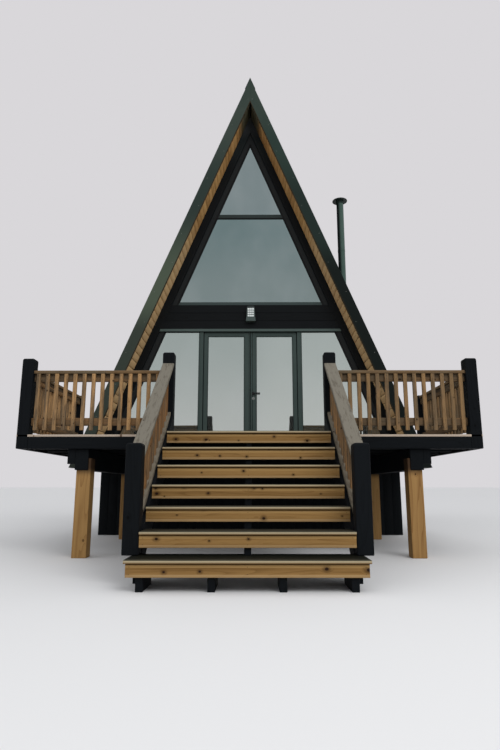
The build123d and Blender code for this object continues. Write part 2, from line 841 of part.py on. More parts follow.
flashing_outer = flue_radius + flashing_collar
flashing_high = roof_z(flue_x - flashing_outer, verge_upstand) + flashing_collar
plate_high_z = roof_z(flue_x - flue_radius, verge_upstand) + flashing_margin
plate_low_z = roof_z(flue_x + flue_radius, verge_upstand) - flashing_margin
plate_outer = verge_upstand - flashing_thickness
with BuildPart() as flue_flashing:
    gable_prism(
        [
            (roof_x(plate_low_z, verge_upstand), plate_low_z),
            (roof_x(plate_high_z, verge_upstand), plate_high_z),
            (roof_x(plate_high_z, plate_outer), plate_high_z),
            (roof_x(plate_low_z, plate_outer), plate_low_z),
        ],
        flue_y - flue_radius - flashing_margin,
        flue_y + flue_radius + flashing_margin,
    )
    with BuildSketch(Plane.XY.offset(flue_foot_z)):
        with Locations((flue_x, flue_y)):
            Circle(flashing_outer)
    extrude(amount=flashing_high - flue_foot_z)
    with BuildSketch(Plane.XY.offset(flue_foot_z)):
        with Locations((flue_x, flue_y)):
            Circle(flue_radius)
    extrude(amount=flue_top_z - flue_foot_z, mode=Mode.SUBTRACT)
    gable_prism(under_roof, roof_front, roof_back, mode=Mode.SUBTRACT)
finish(flue_flashing, "flue_flashing")

# The cap: a collar round the pipe's end, a wide rim and a flat cone, turned about the pipe's axis
pipe_axis = Axis((flue_x, flue_y, 0), (0, 0, 1))
collar_foot = flue_top_z - flue_collar_height
rim_top = flue_top_z + flue_cap_rim
with BuildPart() as flue_cap:
    with BuildSketch(Plane(origin=(flue_x, flue_y, 0), x_dir=(1, 0, 0), z_dir=(0, -1, 0))) as cap_section:
        Polygon(
            (flue_radius, collar_foot),
            (flue_radius + flue_collar, collar_foot),
            (flue_radius + flue_collar, flue_top_z),
            (flue_cap_radius, flue_top_z),
            (flue_cap_radius, rim_top),
            (flue_cap_knob, rim_top + flue_cap_cone),
            (0, rim_top + flue_cap_cone),
            (0, flue_top_z),
            (flue_radius, flue_top_z),
            align=None,
        )
    revolve(cap_section.sketch, axis=pipe_axis)
finish(flue_cap, "flue_cap")
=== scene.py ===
# %% [markdown]
# # An A-frame cabin on posts
# The cabin's solids are drawn somewhere else and come in here as a fixed frame. This lesson gives
# them their looks: boards with grain and knots, folded metal, window beads, screws and panes.
# The frame is loaded first, because every later piece is placed by its sizes.

# %% Load the frame
import bmesh
import bpy
import json
import math
from mathutils import Matrix, Vector


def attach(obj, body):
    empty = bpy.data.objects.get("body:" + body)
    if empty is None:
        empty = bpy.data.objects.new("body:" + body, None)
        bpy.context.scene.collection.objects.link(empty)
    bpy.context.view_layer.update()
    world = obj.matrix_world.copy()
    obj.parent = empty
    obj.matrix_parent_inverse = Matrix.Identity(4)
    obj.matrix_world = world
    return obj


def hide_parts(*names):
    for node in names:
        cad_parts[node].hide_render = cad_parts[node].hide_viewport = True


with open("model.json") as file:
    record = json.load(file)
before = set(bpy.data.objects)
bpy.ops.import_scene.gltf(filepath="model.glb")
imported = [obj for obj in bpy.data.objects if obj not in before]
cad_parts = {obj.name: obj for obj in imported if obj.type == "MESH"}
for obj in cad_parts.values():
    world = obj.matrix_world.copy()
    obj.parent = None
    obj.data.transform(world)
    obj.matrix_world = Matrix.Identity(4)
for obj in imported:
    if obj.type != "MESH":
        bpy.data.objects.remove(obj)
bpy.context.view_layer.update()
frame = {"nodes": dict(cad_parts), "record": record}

# %% [markdown]
# The cabin stands in metres, with the middle of its footprint at zero. Its sizes were drawn from
# the front edge of the deck, so one small function moves a distance behind that edge into the
# frame. The sloping roof is described by two more functions: how wide the cabin is at a height,
# on a plane that lies some depth inside the roof's outer edge, and how high that plane is.

# %% Sizes and the sloping planes
HALF_ANGLE = math.radians(22.2)
TAN, COS, SIN = math.tan(HALF_ANGLE), math.cos(HALF_ANGLE), math.sin(HALF_ANGLE)
RIDGE, DECK, FRONT_EDGE = 8.440, 1.400, -4.251
RISE, GOING, TOP_DEPTH, TREADS = 0.193, 0.263, 0.430, 7
BOARD, POST, WALL_DEPTH = 0.027, 0.141, 0.160
LINING_IN, STRIP_IN, GLASS_IN = 0.190, 0.324, 0.416


def back(y):
    """Place in the frame of a point that lies y behind the deck's front edge."""
    return y + FRONT_EDGE


def slope_x(z, depth):
    """Half the cabin's width at a height."""
    return (RIDGE - z) * TAN - depth / COS


def slope_z(x, depth):
    """Height of the slope at a distance from the middle."""
    return RIDGE - (x + depth / COS) / TAN


def into_scene(name, data):
    made = bpy.data.objects.new(name, data)
    bpy.context.scene.collection.objects.link(made)
    return made


WALL_FRONT, WALL_BACK = back(3.09), back(10.09)
ROOF_FRONT, ROOF_BACK = back(2.70), back(10.48)
ROOF_FOOT = DECK - 0.3
BAND_LOW, BAND_HIGH = DECK + 2.197, DECK + 2.649
TRANSOM_LOW, TRANSOM_HIGH = DECK + 4.386, DECK + 4.445
print("half width at the deck:", round(slope_x(DECK, 0), 3))

# %% [markdown]
# The camera comes before the pieces, so that every render can be laid beside the picture. It
# stands low on the lawn in front of the steps and looks up a little, with a short lens.

# %% Camera
camera = into_scene("camera", bpy.data.cameras.new("camera"))
camera.data.sensor_width = 36
camera.data.lens = 26.16
camera.location = (0.043, back(-6.416), 0.805)
camera.rotation_euler = (math.pi / 2 + 0.201, 0, 0.005)
bpy.context.scene.camera = camera
bpy.context.scene.view_settings.view_transform = "Standard"
print("camera at", [round(v, 3) for v in camera.location])

# %% [markdown]
# A material is a tree of nodes. Written node by node it is long and hard to read, so two small
# classes make it plain arithmetic. `Value` wraps one socket, and `a * 2 + b` on it adds the Math
# nodes. `Tree` is a tree of any kind: its `node` method adds any other node, with its settings
# first and then what goes into its sockets. `Finish` is the tree of one material.
#
# A colour in whole numbers is one as a screen shows it. One in fractions is the light itself.

# %% Shader arithmetic
def screen(*shown):
    """The light that a colour on a screen stands for."""
    return tuple(round((v / 255 / 12.92) if v < 10 else ((v / 255 + 0.055) / 1.055) ** 2.4, 5)
                 for v in shown)


class Value:
    """One output socket, used like a number."""

    def __init__(self, tree, socket):
        self.tree, self.socket = tree, socket

    def math(self, operation, *numbers):
        return self.tree.node("ShaderNodeMath", {"operation": operation}, dict(enumerate(numbers)))

    def __add__(self, other): return self.math("ADD", self, other)
    def __sub__(self, other): return self.math("SUBTRACT", self, other)
    def __rsub__(self, other): return self.math("SUBTRACT", other, self)
    def __mul__(self, other): return self.math("MULTIPLY", self, other)
    def __truediv__(self, other): return self.math("DIVIDE", self, other)
    def __pow__(self, other): return self.math("POWER", self, other)
    def fraction(self): return self.math("FRACT", self)
    def root(self): return self.math("SQRT", self)
    def size(self): return self.math("ABSOLUTE", self)

    def step(self, low, high):
        """Runs smoothly from 0 at low to 1 at high, or down if low is the larger."""
        turned = float(low > high)
        return self.tree.node("ShaderNodeMapRange", {"interpolation_type": "SMOOTHSTEP"}, {
            "Value": self, "From Min": min(low, high), "From Max": max(low, high),
            "To Min": turned, "To Max": 1 - turned})


class Tree:
    """A tree of nodes of any kind."""

    def __init__(self, tree):
        self.tree = tree
        tree.nodes.clear()

    def node(self, kind, settings=None, inputs=None, output=0):
        """Adds a node and gives one of its outputs, or several for a tuple of names."""
        made = self.tree.nodes.new(kind)
        for key, value in (settings or {}).items():
            setattr(made, key, value)
        for key, value in (inputs or {}).items():
            if isinstance(value, Value):
                self.tree.links.new(value.socket, made.inputs[key])
            else:
                made.inputs[key].default_value = value
        if isinstance(output, tuple):
            return [Value(self, made.outputs[key]) for key in output]
        return Value(self, made.outputs[output])

    def colour(self, value):
        """A colour for a socket: three shares become four, and a link stays a link."""
        if isinstance(value, Value):
            return value
        return (*(screen(*value) if isinstance(value[0], int) else value), 1.0)

    def mix(self, share, first, second):
        return self.node("ShaderNodeMix", {"data_type": "RGBA"}, output=2, inputs={
            0: share, 6: self.colour(first), 7: self.colour(second)})

    def vector(self, x, y, z=0.0):
        return self.node("ShaderNodeCombineXYZ", inputs={0: x, 1: y, 2: z})

    def parts(self, value, kind="XYZ"):
        return self.node("ShaderNodeSeparate" + kind, inputs={0: value}, output=(0, 1, 2))

    def direct(self):
        """1 for rays from the camera, a mirror or a pane, and 0 for those that only light."""
        seen, mirrored, through = self.node("ShaderNodeLightPath", output=(
            "Is Camera Ray", "Is Glossy Ray", "Is Transmission Ray"))
        return (seen + mirrored + through).step(0.0, 1.0)


class Finish(Tree):
    """One material, built from the values that its sockets take."""

    def __init__(self, name):
        self.material = bpy.data.materials.new(name)
        self.material.use_nodes = True
        super().__init__(self.material.node_tree)

    def place(self):
        """Where a point of the surface is, as three numbers in metres."""
        return self.parts(self.node("ShaderNodeTexCoord", output="Object"))

    def noise(self, point, scales, detail=2.0, rough=0.5):
        """Clouds between 0 and 1, with a scale for each direction."""
        scaled = self.vector(*(value * scale for value, scale in zip(point, scales)))
        return self.node("ShaderNodeTexNoise", inputs={
            "Vector": scaled, "Scale": 1.0, "Detail": detail, "Roughness": rough})

    def surface(self, base, rough, gloss=0.5, bump=None, **others):
        """The material itself. A bump is a height between 0 and 1 and the depth it stands for."""
        sockets = {"Base Color": base, "Roughness": rough, "Specular IOR Level": gloss, **others}
        if bump:
            sockets["Normal"] = self.node("ShaderNodeBump", output="Normal", inputs={
                "Height": bump[0], "Distance": bump[1], "Strength": 1.0})
        shader = self.node("ShaderNodeBsdfPrincipled", inputs=sockets)
        self.node("ShaderNodeOutputMaterial", inputs={"Surface": shader}, output=())
        return self.material


print("a mid grey is", screen(128, 128, 128))

# %% [markdown]
# The stage is a pale floor under an even, pale sky. The sky lights everything softly, and the
# part of it that the camera, the panes and the metal see is a little darker than white, as an
# overcast day looks. One broad lamp gives the round edges something to catch.

# %% Floor, sky and lamp
FAR = 300
stage_floor = into_scene("stage_floor", bpy.data.meshes.new("stage_floor"))
stage_floor.data.from_pydata([(-FAR, -FAR, 0), (FAR, -FAR, 0), (FAR, FAR, 0), (-FAR, FAR, 0)], [],
                             [(0, 1, 2, 3)])
ground = Finish("stage_ground")
pale = ground.mix(ground.direct(), (0.42, 0.42, 0.41), (0.76, 0.76, 0.765))
stage_floor.data.materials.append(ground.surface(pale, 0.9, 0.1))

world = bpy.data.worlds.new("sky")
bpy.context.scene.world = world
world.use_nodes = True
sky = Tree(world.node_tree)
light, shown = (sky.node("ShaderNodeBackground", inputs={
    "Color": sky.colour(tint), "Strength": strength})
    for tint, strength in (((0.97, 0.98, 1.0), 0.85), ((217, 215, 218), 1.0)))
both = sky.node("ShaderNodeMixShader", inputs={0: sky.direct(), 1: light, 2: shown})
sky.node("ShaderNodeOutputWorld", inputs={"Surface": both}, output=())

lamp = into_scene("broad_lamp", bpy.data.lights.new("broad_lamp", "AREA"))
lamp.data.shape = "DISK"
lamp.data.size = 9
lamp.data.energy = 900
lamp.location = (6, -15, 11)
lamp.visible_glossy = False
to_middle = Vector((0, 0, 3)) - Vector(lamp.location)
lamp.rotation_euler = to_middle.to_track_quat("-Z", "Y").to_euler()
print("lamp", lamp.data.energy, "W")

# %% [markdown]
# Timber is the finish that carries most of this cabin. Three things make it read as wood: growth
# rings, which are contours of a noise that is stretched along the board; fine pores, a second
# noise stretched much more; and knots. A knot is round however long the grain is, so its centre is
# taken from a Voronoi cell, and the distance to it is worked out in metres. The rings bend round
# it. Each board carries a number of its own, which shifts the pattern and the shade.
#
# The cut names three directions: along the grain, across the board and through it. Weather comes
# on top, as grey and dark streaks. So do painted light and shade: fades along one direction, and
# highlight and shadow bands at heights under each tread's top. The treads also darken towards the
# back.

# %% Timber
RAKE = math.atan2(RISE, GOING)
OWN_SHIFTS = (17.3, 5.9, 2.3)


def timber(name, cut, light, dark, knot, knots=0.3, ring=0.45, pore=0.35, shade=0.3, rough=0.6,
           grey=None, grey_share=0.0, spacing=(0.42, 0.12), knot_size=0.011, relief=0.0007,
           gloss=0.15, streaks=0.0, bands=0.0, stain=0.0, painted_light_fades=(), painted_light_bands=(), back_darkening=None):
    f = Finish(name)
    x, y, z = f.place()
    way = {"x": x, "y": y, "z": z, "rake": y * math.cos(RAKE) + z * math.sin(RAKE),
           "over": z * math.cos(RAKE) - y * math.sin(RAKE)}
    own = f.node("ShaderNodeAttribute", {"attribute_name": "board"}, output="Fac")
    run, side, thick = grain = [way[key] + own * by for key, by in zip(cut, OWN_SHIFTS)]

    cell_run, cell_side = 1 / spacing[0], 1 / spacing[1]
    centre, luck = f.node("ShaderNodeTexVoronoi", {"voronoi_dimensions": "2D"}, {
        "Vector": f.vector(run * cell_run, side * cell_side), "Scale": 1.0}, ("Position", "Color"))
    centre_run, centre_side, _ = f.parts(centre)
    size_luck, there_luck, _ = f.parts(luck, "Color")
    along = run - centre_run / cell_run
    across = side - centre_side / cell_side
    away = (along * along * 0.6 + across * across).root()
    near = away / (size_luck * knot_size + knot_size * 0.35)
    there = there_luck.step(knots + 0.02, knots - 0.02)
    core = near.step(1.15, 0.75) * there
    halo = near.step(4.0, 1.0) * there

    broad = f.noise((run, side + halo * 0.012, thick), (0.55, 7.0, 7.0), detail=1.5)
    late = (broad * 11.0 + halo * 0.8).fraction() ** 3.0
    fine = f.noise(grain, (5.0, 260.0, 260.0))
    cloud = f.noise(grain, (1.2, 6.0, 6.0))
    tone = (late * ring + fine * pore + cloud * 0.35 + own * shade + halo * 0.12
            - 0.5 * (pore + 0.35 + shade))
    if bands:
        tone = tone + (f.noise(grain, (0.35, 26.0, 26.0)) - 0.5) * bands
    base = f.mix(tone.step(-0.25, 0.85), light, dark)

    # Painted light and shade: the colour fades towards a lighter or darker tint along one
    # direction.
    for key, start, end, tint, amount in painted_light_fades:
        base = f.mix(way[key].step(start, end) * amount, base, tint)
    if grey:
        worn = f.noise(grain, (3.0, 30.0, 30.0), detail=4.0, rough=0.65)
        base = f.mix((worn + cloud - 1.0 + grey_share).step(-0.25, 0.3), base, grey)
    if streaks:
        patch = f.noise(grain, (7.0, 48.0, 48.0), detail=4.0, rough=0.7)
        base = f.mix(patch.step(0.50, 0.66) * streaks, base, knot)
    # Painted highlight and shadow bands, at heights under each tread's top.
    for start, end, tint, amount in painted_light_bands:
        below = ((DECK - z) / RISE).fraction() * RISE
        inside = below.step(start, start + 0.001) * below.step(end + 0.001, end)
        base = f.mix(inside * amount, base, tint)
    # The tread tops darken towards the back of each tread, and the bottom tread's top is darkest.
    if back_darkening:
        behind = ((y - back(-TOP_DEPTH)) / GOING).fraction()
        base = f.mix(behind.step(0.12, 0.45) * z.step(DECK - 0.05, DECK - 0.06) * 0.75, base, back_darkening)
        lowest = y.step(back(-1.985), back(-1.95)) * z.step(DECK - 1.10, DECK - 1.12)
        base = f.mix(lowest * 0.92, base, (17, 20, 13))
    if stain:
        base = f.mix(halo * halo * stain, base, knot)
    return f.surface(f.mix(core, base, knot), (fine - 0.5) * 0.2 + rough, gloss,
                     (fine * 0.5 + late * 0.35 + core * 0.6, relief))


# Risers: a painted shadow line under each nosing, and painted highlight bands below it and at the
# foot.
step_pine = timber(
    "step_pine", "xzy", (159, 123, 73), (114, 82, 42), (40, 22, 10), knots=0.6, shade=0.35,
    spacing=(0.29, 0.09), knot_size=0.0105, bands=1.3, ring=0.3, stain=0.45, streaks=0.1,
    painted_light_bands=((0.020, 0.036, (84, 58, 20), 0.9), (0.037, 0.058, (200, 164, 108), 0.35),
           (0.108, 0.140, (204, 172, 128), 0.42)))
# Treads: a painted highlight on each nosing's front face.
tread_pine = timber(
    "tread_pine", "xyz", (76, 70, 54), (50, 43, 31), (34, 24, 16), knots=0.4, grey=(74, 72, 60),
    grey_share=0.25, streaks=0.3, back_darkening=(32, 28, 21),
    painted_light_bands=((0.004, 0.016, (184, 168, 136), 0.9), (0.017, 0.0245, (150, 120, 82), 0.9)))
deck_pine = timber("deck_pine", "yxz", (116, 102, 76), (88, 72, 48), (52, 34, 20), knots=0.35,
                   grey=(128, 119, 104), grey_share=0.4)
deck_edge_pine = timber("deck_edge_pine", "xyz", (190, 174, 158), (160, 142, 124), (96, 74, 56),
                        ring=0.25, pore=0.25)
# Rails: painted light on the left railing, less on the right, and painted shadow on their tops
# under the cap.
RAIL = dict(
    light=(112, 80, 49), dark=(74, 50, 29), knot=(36, 22, 12), grey=(92, 78, 60), grey_share=0.1,
    streaks=0.4, painted_light_fades=(("x", -0.9, -1.3, (168, 130, 88), 0.45),
                        ("x", 0.9, 1.3, (140, 120, 92), 0.2),
                        ("z", DECK + 0.685, DECK + 0.700, (20, 11, 5), 0.85)))
CAP = dict(light=(122, 94, 62), dark=(90, 66, 42), knot=(48, 32, 20), grey=(106, 92, 72),
           grey_share=0.1, streaks=0.35)
rail_x, rail_y = (timber("rail_pine_" + way, cut, **RAIL)
                  for way, cut in (("across", "xzy"), ("along", "yzx")))
cap_x, cap_y = (timber("cap_pine_" + way, cut, **CAP)
                for way, cut in (("across", "xyz"), ("along", "yxz")))
# Balusters: painted light on the left railing, and less on the right.
baluster_pine = timber(
    "baluster_pine", "zxy", (142, 102, 62), (82, 54, 31), (44, 26, 14), knots=0.4, shade=0.8,
    spacing=(0.3, 0.1), knot_size=0.008, grey=(98, 84, 66), streaks=0.4,
    painted_light_fades=(("x", -0.9, -1.3, (224, 180, 126), 0.45), ("x", 0.84, 1.1, (160, 138, 100), 0.35)))
RAKED_CUT = ("rake", "x", "over")
hand_pine = timber(
    "handrail_pine", RAKED_CUT, (136, 127, 108), (84, 75, 60), (56, 46, 36), knots=0.25,
    grey=(118, 113, 102), grey_share=0.5, pore=0.8, rough=0.8, streaks=0.5, bands=0.9)
foot_pine = timber(
    "foot_rail_pine", RAKED_CUT, (118, 102, 78), (78, 62, 44), (50, 34, 22), knots=0.4,
    grey=(116, 108, 94), grey_share=0.4, pore=0.7, streaks=0.6)
# Deck posts: painted shade at their tops, under the girders.
post_pine = timber("post_pine", "zxy", (174, 136, 85), (133, 96, 55), (56, 32, 16), knots=0.4,
                   bands=0.8, painted_light_fades=(("z", 0.90, 1.02, (66, 48, 32), 1.0),))
# Lining: painted light on its lower part, and painted shade towards the apex.
lining_pine = timber(
    "lining_pine", "yzx", (220, 174, 114), (156, 112, 66), (70, 42, 20), shade=0.6, rough=0.5,
    spacing=(0.5, 0.09), knot_size=0.008,
    painted_light_fades=(("z", 5.7, 4.8, (236, 202, 154), 0.7), ("z", 7.35, 7.65, (86, 88, 72), 0.95)))
room_pine = timber("room_pine", "yxz", (168, 134, 94), (132, 98, 60), (64, 40, 22))
print("timbers:", len(bpy.data.materials) - 1)

# %% [markdown]
# The posts, beams and gable walls are stained almost black. The stain hides the colour of the
# wood but not its grain, so these use the same timber with two dark colours and a deeper relief.

# %% Black stain
BLACK = dict(light=(20, 23, 26), dark=(10, 12, 14), knot=(7, 8, 9), ring=0.3, pore=0.6, knots=0.25,
             relief=0.0009, gloss=0.06)
WALL = dict(light=(17, 20, 22), dark=(10, 12, 13), knot=(9, 10, 11), ring=0.3, pore=0.5,
            knots=0.15, rough=0.5, relief=0.0005, gloss=0.10)
black_upright, black_across, black_along, black_rake = (
    timber("black_" + way, cut, **BLACK) for way, cut in
    (("upright", "zxy"), ("across", "xzy"), ("along", "yzx"), ("rake", ("rake", "over", "x"))))
wall_black = timber("wall_black", "xzy", **WALL)
# Gable walls: painted light, which makes the black lighter in steps towards the apex.
slope_black = timber("slope_black", "zxy", **WALL, painted_light_fades=(
    ("z", 6.7, 7.35, (28, 34, 35), 0.9), ("z", 7.4, 7.75, (62, 64, 66), 0.9),
    ("z", 7.75, 7.95, (86, 86, 78), 0.9)))
print("timbers and stains:", len(bpy.data.materials) - 1)

# %% [markdown]
# Folded metal covers the roof, its verges, the frames and the flue. It is painted, so it isn't a
# metallic shader but a satin paint: one even colour, a slight cloudiness where rain has dried, and
# a very shallow waviness, which thin sheet always has. Painted shade makes the frames darker along
# the slope, with a black line beside the pane, and gives the verges a narrow brown shadow line at
# their inner edge. The verges also fade with height as painted light and shade, the loft frames
# are a darker painted-shade copy of the frame paint with a lighter painted sill, and the flue is
# painted darker on its left side.

# %% Painted metal and glass
BEAD_SHADE_TINT, GAP_TINT, VERGE_SHADOW_TINT = (9, 10, 11), (3, 5, 6), (50, 42, 30)


def painted(name, tint, worn, rough, cloud_size=1.6, wave=0.0, share=0.5, gloss=0.22, painted_light_fades=(),
            shaded=None, inner=None, slope_shade=None, lit_sill_top=0.0, bead=None):
    f = Finish(name)
    x, y, z = place = f.place()
    cloud = f.noise(place, [cloud_size] * 3, detail=5.0, rough=0.6)
    speck = f.noise(place, [60.0] * 3)
    ripple = f.noise(place, [2.2] * 3, detail=1.0)
    base = f.mix((cloud * 0.8 + speck * 0.2).step(0.3, 0.75) * share, tint, worn)
    # Painted light and shade that fade with height.
    for start, end, shade in painted_light_fades:
        base = f.mix(z.step(start, end), base, shade)
    if shaded:
        base = f.mix(x.step(*shaded[:2]), base, shaded[2])
    if inner or slope_shade:
        inside = (RIDGE - z) * SIN - x.size() * COS
    # Painted shadow: a narrow brown line along the verge's inner edge, next to the lining.
    if inner:
        base = f.mix(inside.step(inner, inner + 0.002), base, VERGE_SHADOW_TINT)
    # Painted shade: frame members along the slope are darker, the bead beside a slanted pane is
    # near black, and so is the bead between the two given heights. A near-black gap lies between
    # frame face and bead.
    if slope_shade:
        bead_shade_mask = z.step(bead[0], bead[0] + 0.001) * z.step(bead[1] + 0.001, bead[1])
        gap = inside.step(0.402, 0.404) * inside.step(0.418, 0.417)
        # Painted light: below the given sill height the frame takes the lighter worn tint, so the
        # sill looks lit.
        base = f.mix(z.step(lit_sill_top, lit_sill_top + 0.05), worn, base)
        base = f.mix(inside.step(0.4375, 0.4365), base, BEAD_SHADE_TINT)
        base = f.mix(inside.step(0.418, 0.416), base, slope_shade)
        base = f.mix(bead_shade_mask, f.mix(gap, base, GAP_TINT), BEAD_SHADE_TINT)
    return f.surface(base, cloud * 0.15 + (rough - 0.07), gloss, (ripple + speck * 0.02, wave))


roof_paint = painted("roof_paint", (42, 54, 50), (58, 68, 62), 0.42, wave=0.0012)
# Painted light and shade on the verges: each fades with height, and the right one is darker than
# the left.
VERGE_LIGHT_FADES = {
    "left": ((7.3, 6.3, (42, 54, 49)), (5.8, 4.4, (76, 87, 72)), (4.0, 3.4, (54, 62, 54))),
    "right": ((7.95, 7.1, (42, 57, 51)), (6.9, 5.9, (32, 44, 40)), (5.2, 4.5, (17, 24, 22)))}
lit_verge_paint = {name: painted("verge_paint_" + name, (50, 62, 56), (66, 75, 66), 0.42, wave=0.002,
                             gloss=0.15 if name == "left" else 0.1, inner=0.176, painted_light_fades=painted_light_fades)
               for name, painted_light_fades in VERGE_LIGHT_FADES.items()}
# Door and sidelight frames: painted shade along the slope and on the bead under the door head.
frame_paint = painted("frame_paint", (54, 68, 65), (68, 81, 77), 0.38, wave=0.0002,
                      slope_shade=(22, 26, 27), bead=(DECK + 2.151, DECK + 2.165))
# Loft frames: the frame paint made darker, as painted shade under the eaves, with a lighter painted
# sill.
loft_frame_paint = painted(
    "loft_frame_paint", (36, 45, 44), (56, 68, 67), 0.42, wave=0.0002, share=0.3,
    slope_shade=(22, 26, 27), lit_sill_top=DECK + 2.72, bead=(DECK + 4.372, TRANSOM_LOW))
strip_paint = painted("head_strip_paint", (70, 84, 81), (82, 94, 90), 0.4, wave=0.0002)
# Black for the rubber gaskets and seals, and for painted shade: the gap shadows, the keyhole and
# the skirt's joints.
gasket_black = painted("gasket_black", (7, 8, 9), (12, 13, 14), 0.8, gloss=0.04)
flue_paint = painted("flue_paint", (62, 84, 76), (80, 102, 93), 0.36, 4.0, wave=0.0004,
                     shaded=(1.828, 1.786, (20, 27, 27)))
cap_paint = painted("flue_cap_paint", (34, 46, 43), (48, 60, 55), 0.4, 4.0, wave=0.0002)
handle_paint = painted("handle_paint", (14, 18, 19), (24, 29, 30), 0.3, gloss=0.4)
lock_steel = painted("lock_steel", (128, 132, 130), (96, 100, 99), 0.3, 40.0)
lamp_paint = painted("lamp_paint", (68, 80, 78), (88, 99, 97), 0.4, 20.0)
hood_paint = painted("lamp_hood", (40, 48, 48), (56, 64, 63), 0.45, 20.0)
opal_white = painted("opal_white", (232, 239, 238), (216, 223, 222), 0.3, 24.0)
hinge_paint = painted("hinge_paint", (36, 44, 43), (58, 66, 64), 0.35, 30.0)
screw_zinc = painted("screw_zinc", (120, 122, 118), (84, 80, 72), 0.4, 30.0)
screw_dark = painted("screw_dark", (52, 44, 36), (34, 28, 22), 0.5, 30.0)


def pane(name, low_z, high_z, low_reflection, high_reflection, above=None, right=0.0):
    """Glass that mirrors the sky, with a painted reflection: a tint that changes with height."""
    f = Finish(name)
    x, y, z = place = f.place()
    smear = f.noise(place, (1.3, 1.3, 0.9), detail=3.0)
    base = f.mix(z.step(low_z, high_z), low_reflection, high_reflection)
    if above:
        base = f.mix(z.step(above[0], above[0] + 0.02), base, above[1])
    base = f.mix(smear.step(0.35, 0.75) * 0.10, base, (0.75, 0.8, 0.8))
    # Painted reflection: the glass is lighter towards the right.
    base = f.mix(x.step(-0.2, 0.6) * right, base, (0.80, 0.86, 0.80))
    return f.surface(base, smear * 0.01 + 0.004, Metallic=0.95, Alpha=0.96,
                     bump=(f.noise(place, [0.9] * 3, detail=0.0), 0.0015))


lower_pane = pane("lower_pane", DECK, DECK + 2.2, (0.61, 0.655, 0.615), (0.445, 0.52, 0.49),
                  right=0.16)
upper_pane = pane("upper_pane", DECK + 2.8, DECK + 4.3, (0.272, 0.345, 0.338),
                  (0.2, 0.285, 0.285), above=(DECK + 4.4, (0.272, 0.345, 0.347)))
print("paints and panes ready")

# %% [markdown]
# A solid from a drawing has knife edges, and nothing real has. `soften` copies nodes of the frame,
# merges loose triangles, joins the flat ones into whole faces and rounds every sharp edge. It gives
# each separate bar its own number, and the piece then stands for the node.

# %% Rounding a node of the frame
CABIN, GOLDEN = "cabin", 0.61803
body_of_node = {n: b for b, ns in frame["record"]["behaviour"]["bodies"].items() for n in ns}
slot_of_node = {s["node"]: s["material_slot"] for s in frame["record"]["subparts"]}


def mesh_from(bm, name, *finishes):
    """A mesh of a finished shape, with its faces turned outwards."""
    bmesh.ops.recalc_face_normals(bm, faces=bm.faces)
    mesh = bpy.data.meshes.new(name)
    bm.to_mesh(mesh)
    bm.free()
    for finish in finishes:
        mesh.materials.append(finish)
    return mesh


def set_numbers(mesh, numbers):
    mesh.attributes.new("board", "FLOAT", "POINT").data.foreach_set("value", numbers)
    return mesh


def bar_numbers(bm):
    """A number from 0 to 1 for every vertex, the same all over one separate bar."""
    numbers, count = [None] * len(bm.verts), 0
    bm.verts.index_update()
    for start in bm.verts:
        if numbers[start.index] is None:
            count += 1
            queue = [start]
            while queue:
                vert = queue.pop()
                if numbers[vert.index] is None:
                    numbers[vert.index] = (count * GOLDEN) % 1
                    queue += [edge.other_vert(vert) for edge in vert.link_edges]
    return numbers


def put(name, mesh, node=None, body=CABIN, slot=None):
    """Puts a mesh into the scene as a piece. It stands for a node or is an extra."""
    piece = into_scene(name, mesh)
    if node:
        body, slot = body_of_node[node], slot_of_node[node]
    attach(piece, body)
    if node:
        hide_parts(node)


def soften(edge, finish, *nodes):
    for node in nodes:
        bm = bmesh.new()
        bm.from_mesh(frame["nodes"][node].data)
        bmesh.ops.remove_doubles(bm, verts=bm.verts, dist=1e-5)
        bmesh.ops.dissolve_limit(bm, angle_limit=0.008, verts=bm.verts, edges=bm.edges)
        sharp = [e for e in bm.edges if len(e.link_faces) == 2 and e.calc_face_angle() > 0.35]
        bmesh.ops.bevel(bm, geom=sharp, offset=edge, segments=2, profile=0.5, affect="EDGES",
                        clamp_overlap=True)
        numbers = bar_numbers(bm)
        name = node + "_soft"
        put(name, set_numbers(mesh_from(bm, name, finish), numbers), node)


soften(0.012, black_upright, "rail_posts")
soften(0.014, black_upright, "newels")
soften(0.006, black_upright, "cabin_posts")
soften(0.003, black_upright, "girder_cleats")
soften(0.006, post_pine, "deck_posts")
soften(0.006, black_along, "floor_beams", "deck_girders")
soften(0.004, black_along, "step_bearers")
soften(0.004, black_across, "edge_beams", "deck_joists")
soften(0.004, black_rake, "stair_cheeks")
soften(0.003, black_rake, "middle_string")
soften(0.010, hand_pine, "handrails")

# %% [markdown]
# A bar is laid by two directions: the one its length runs in, and the one its width lies in. The
# turn that does this is worked out from the two, which is easier to follow than three angles.

# %% Laying a bar by two directions
X, Y, Z = Vector((1, 0, 0)), Vector((0, 1, 0)), Vector((0, 0, 1))
SIDES = {"left": -1, "right": 1}


def facing(along, across):
    along, across = Vector(along).normalized(), Vector(across).normalized()
    return tuple(Matrix((along, across, along.cross(across))).transposed().to_euler())


def down_slope(side):
    """Unit step down a slope of the roof."""
    return Vector((side * SIN, 0, -COS))


print("down the right slope:", [round(v, 3) for v in down_slope(1)])

# %% [markdown]
# Boards and bars repeat all over the cabin, so one tree of Geometry Nodes makes them all. It
# sweeps a rectangle with rounded corners along a line, which gives one bar, and sets copies of it
# at even steps. Each copy gets a random number from a fixed seed, and the copies are made real at
# the end, because an exported model has no instances. Screws are set by the same last steps, so
# those are a function. `gather` joins several meshes into one piece.

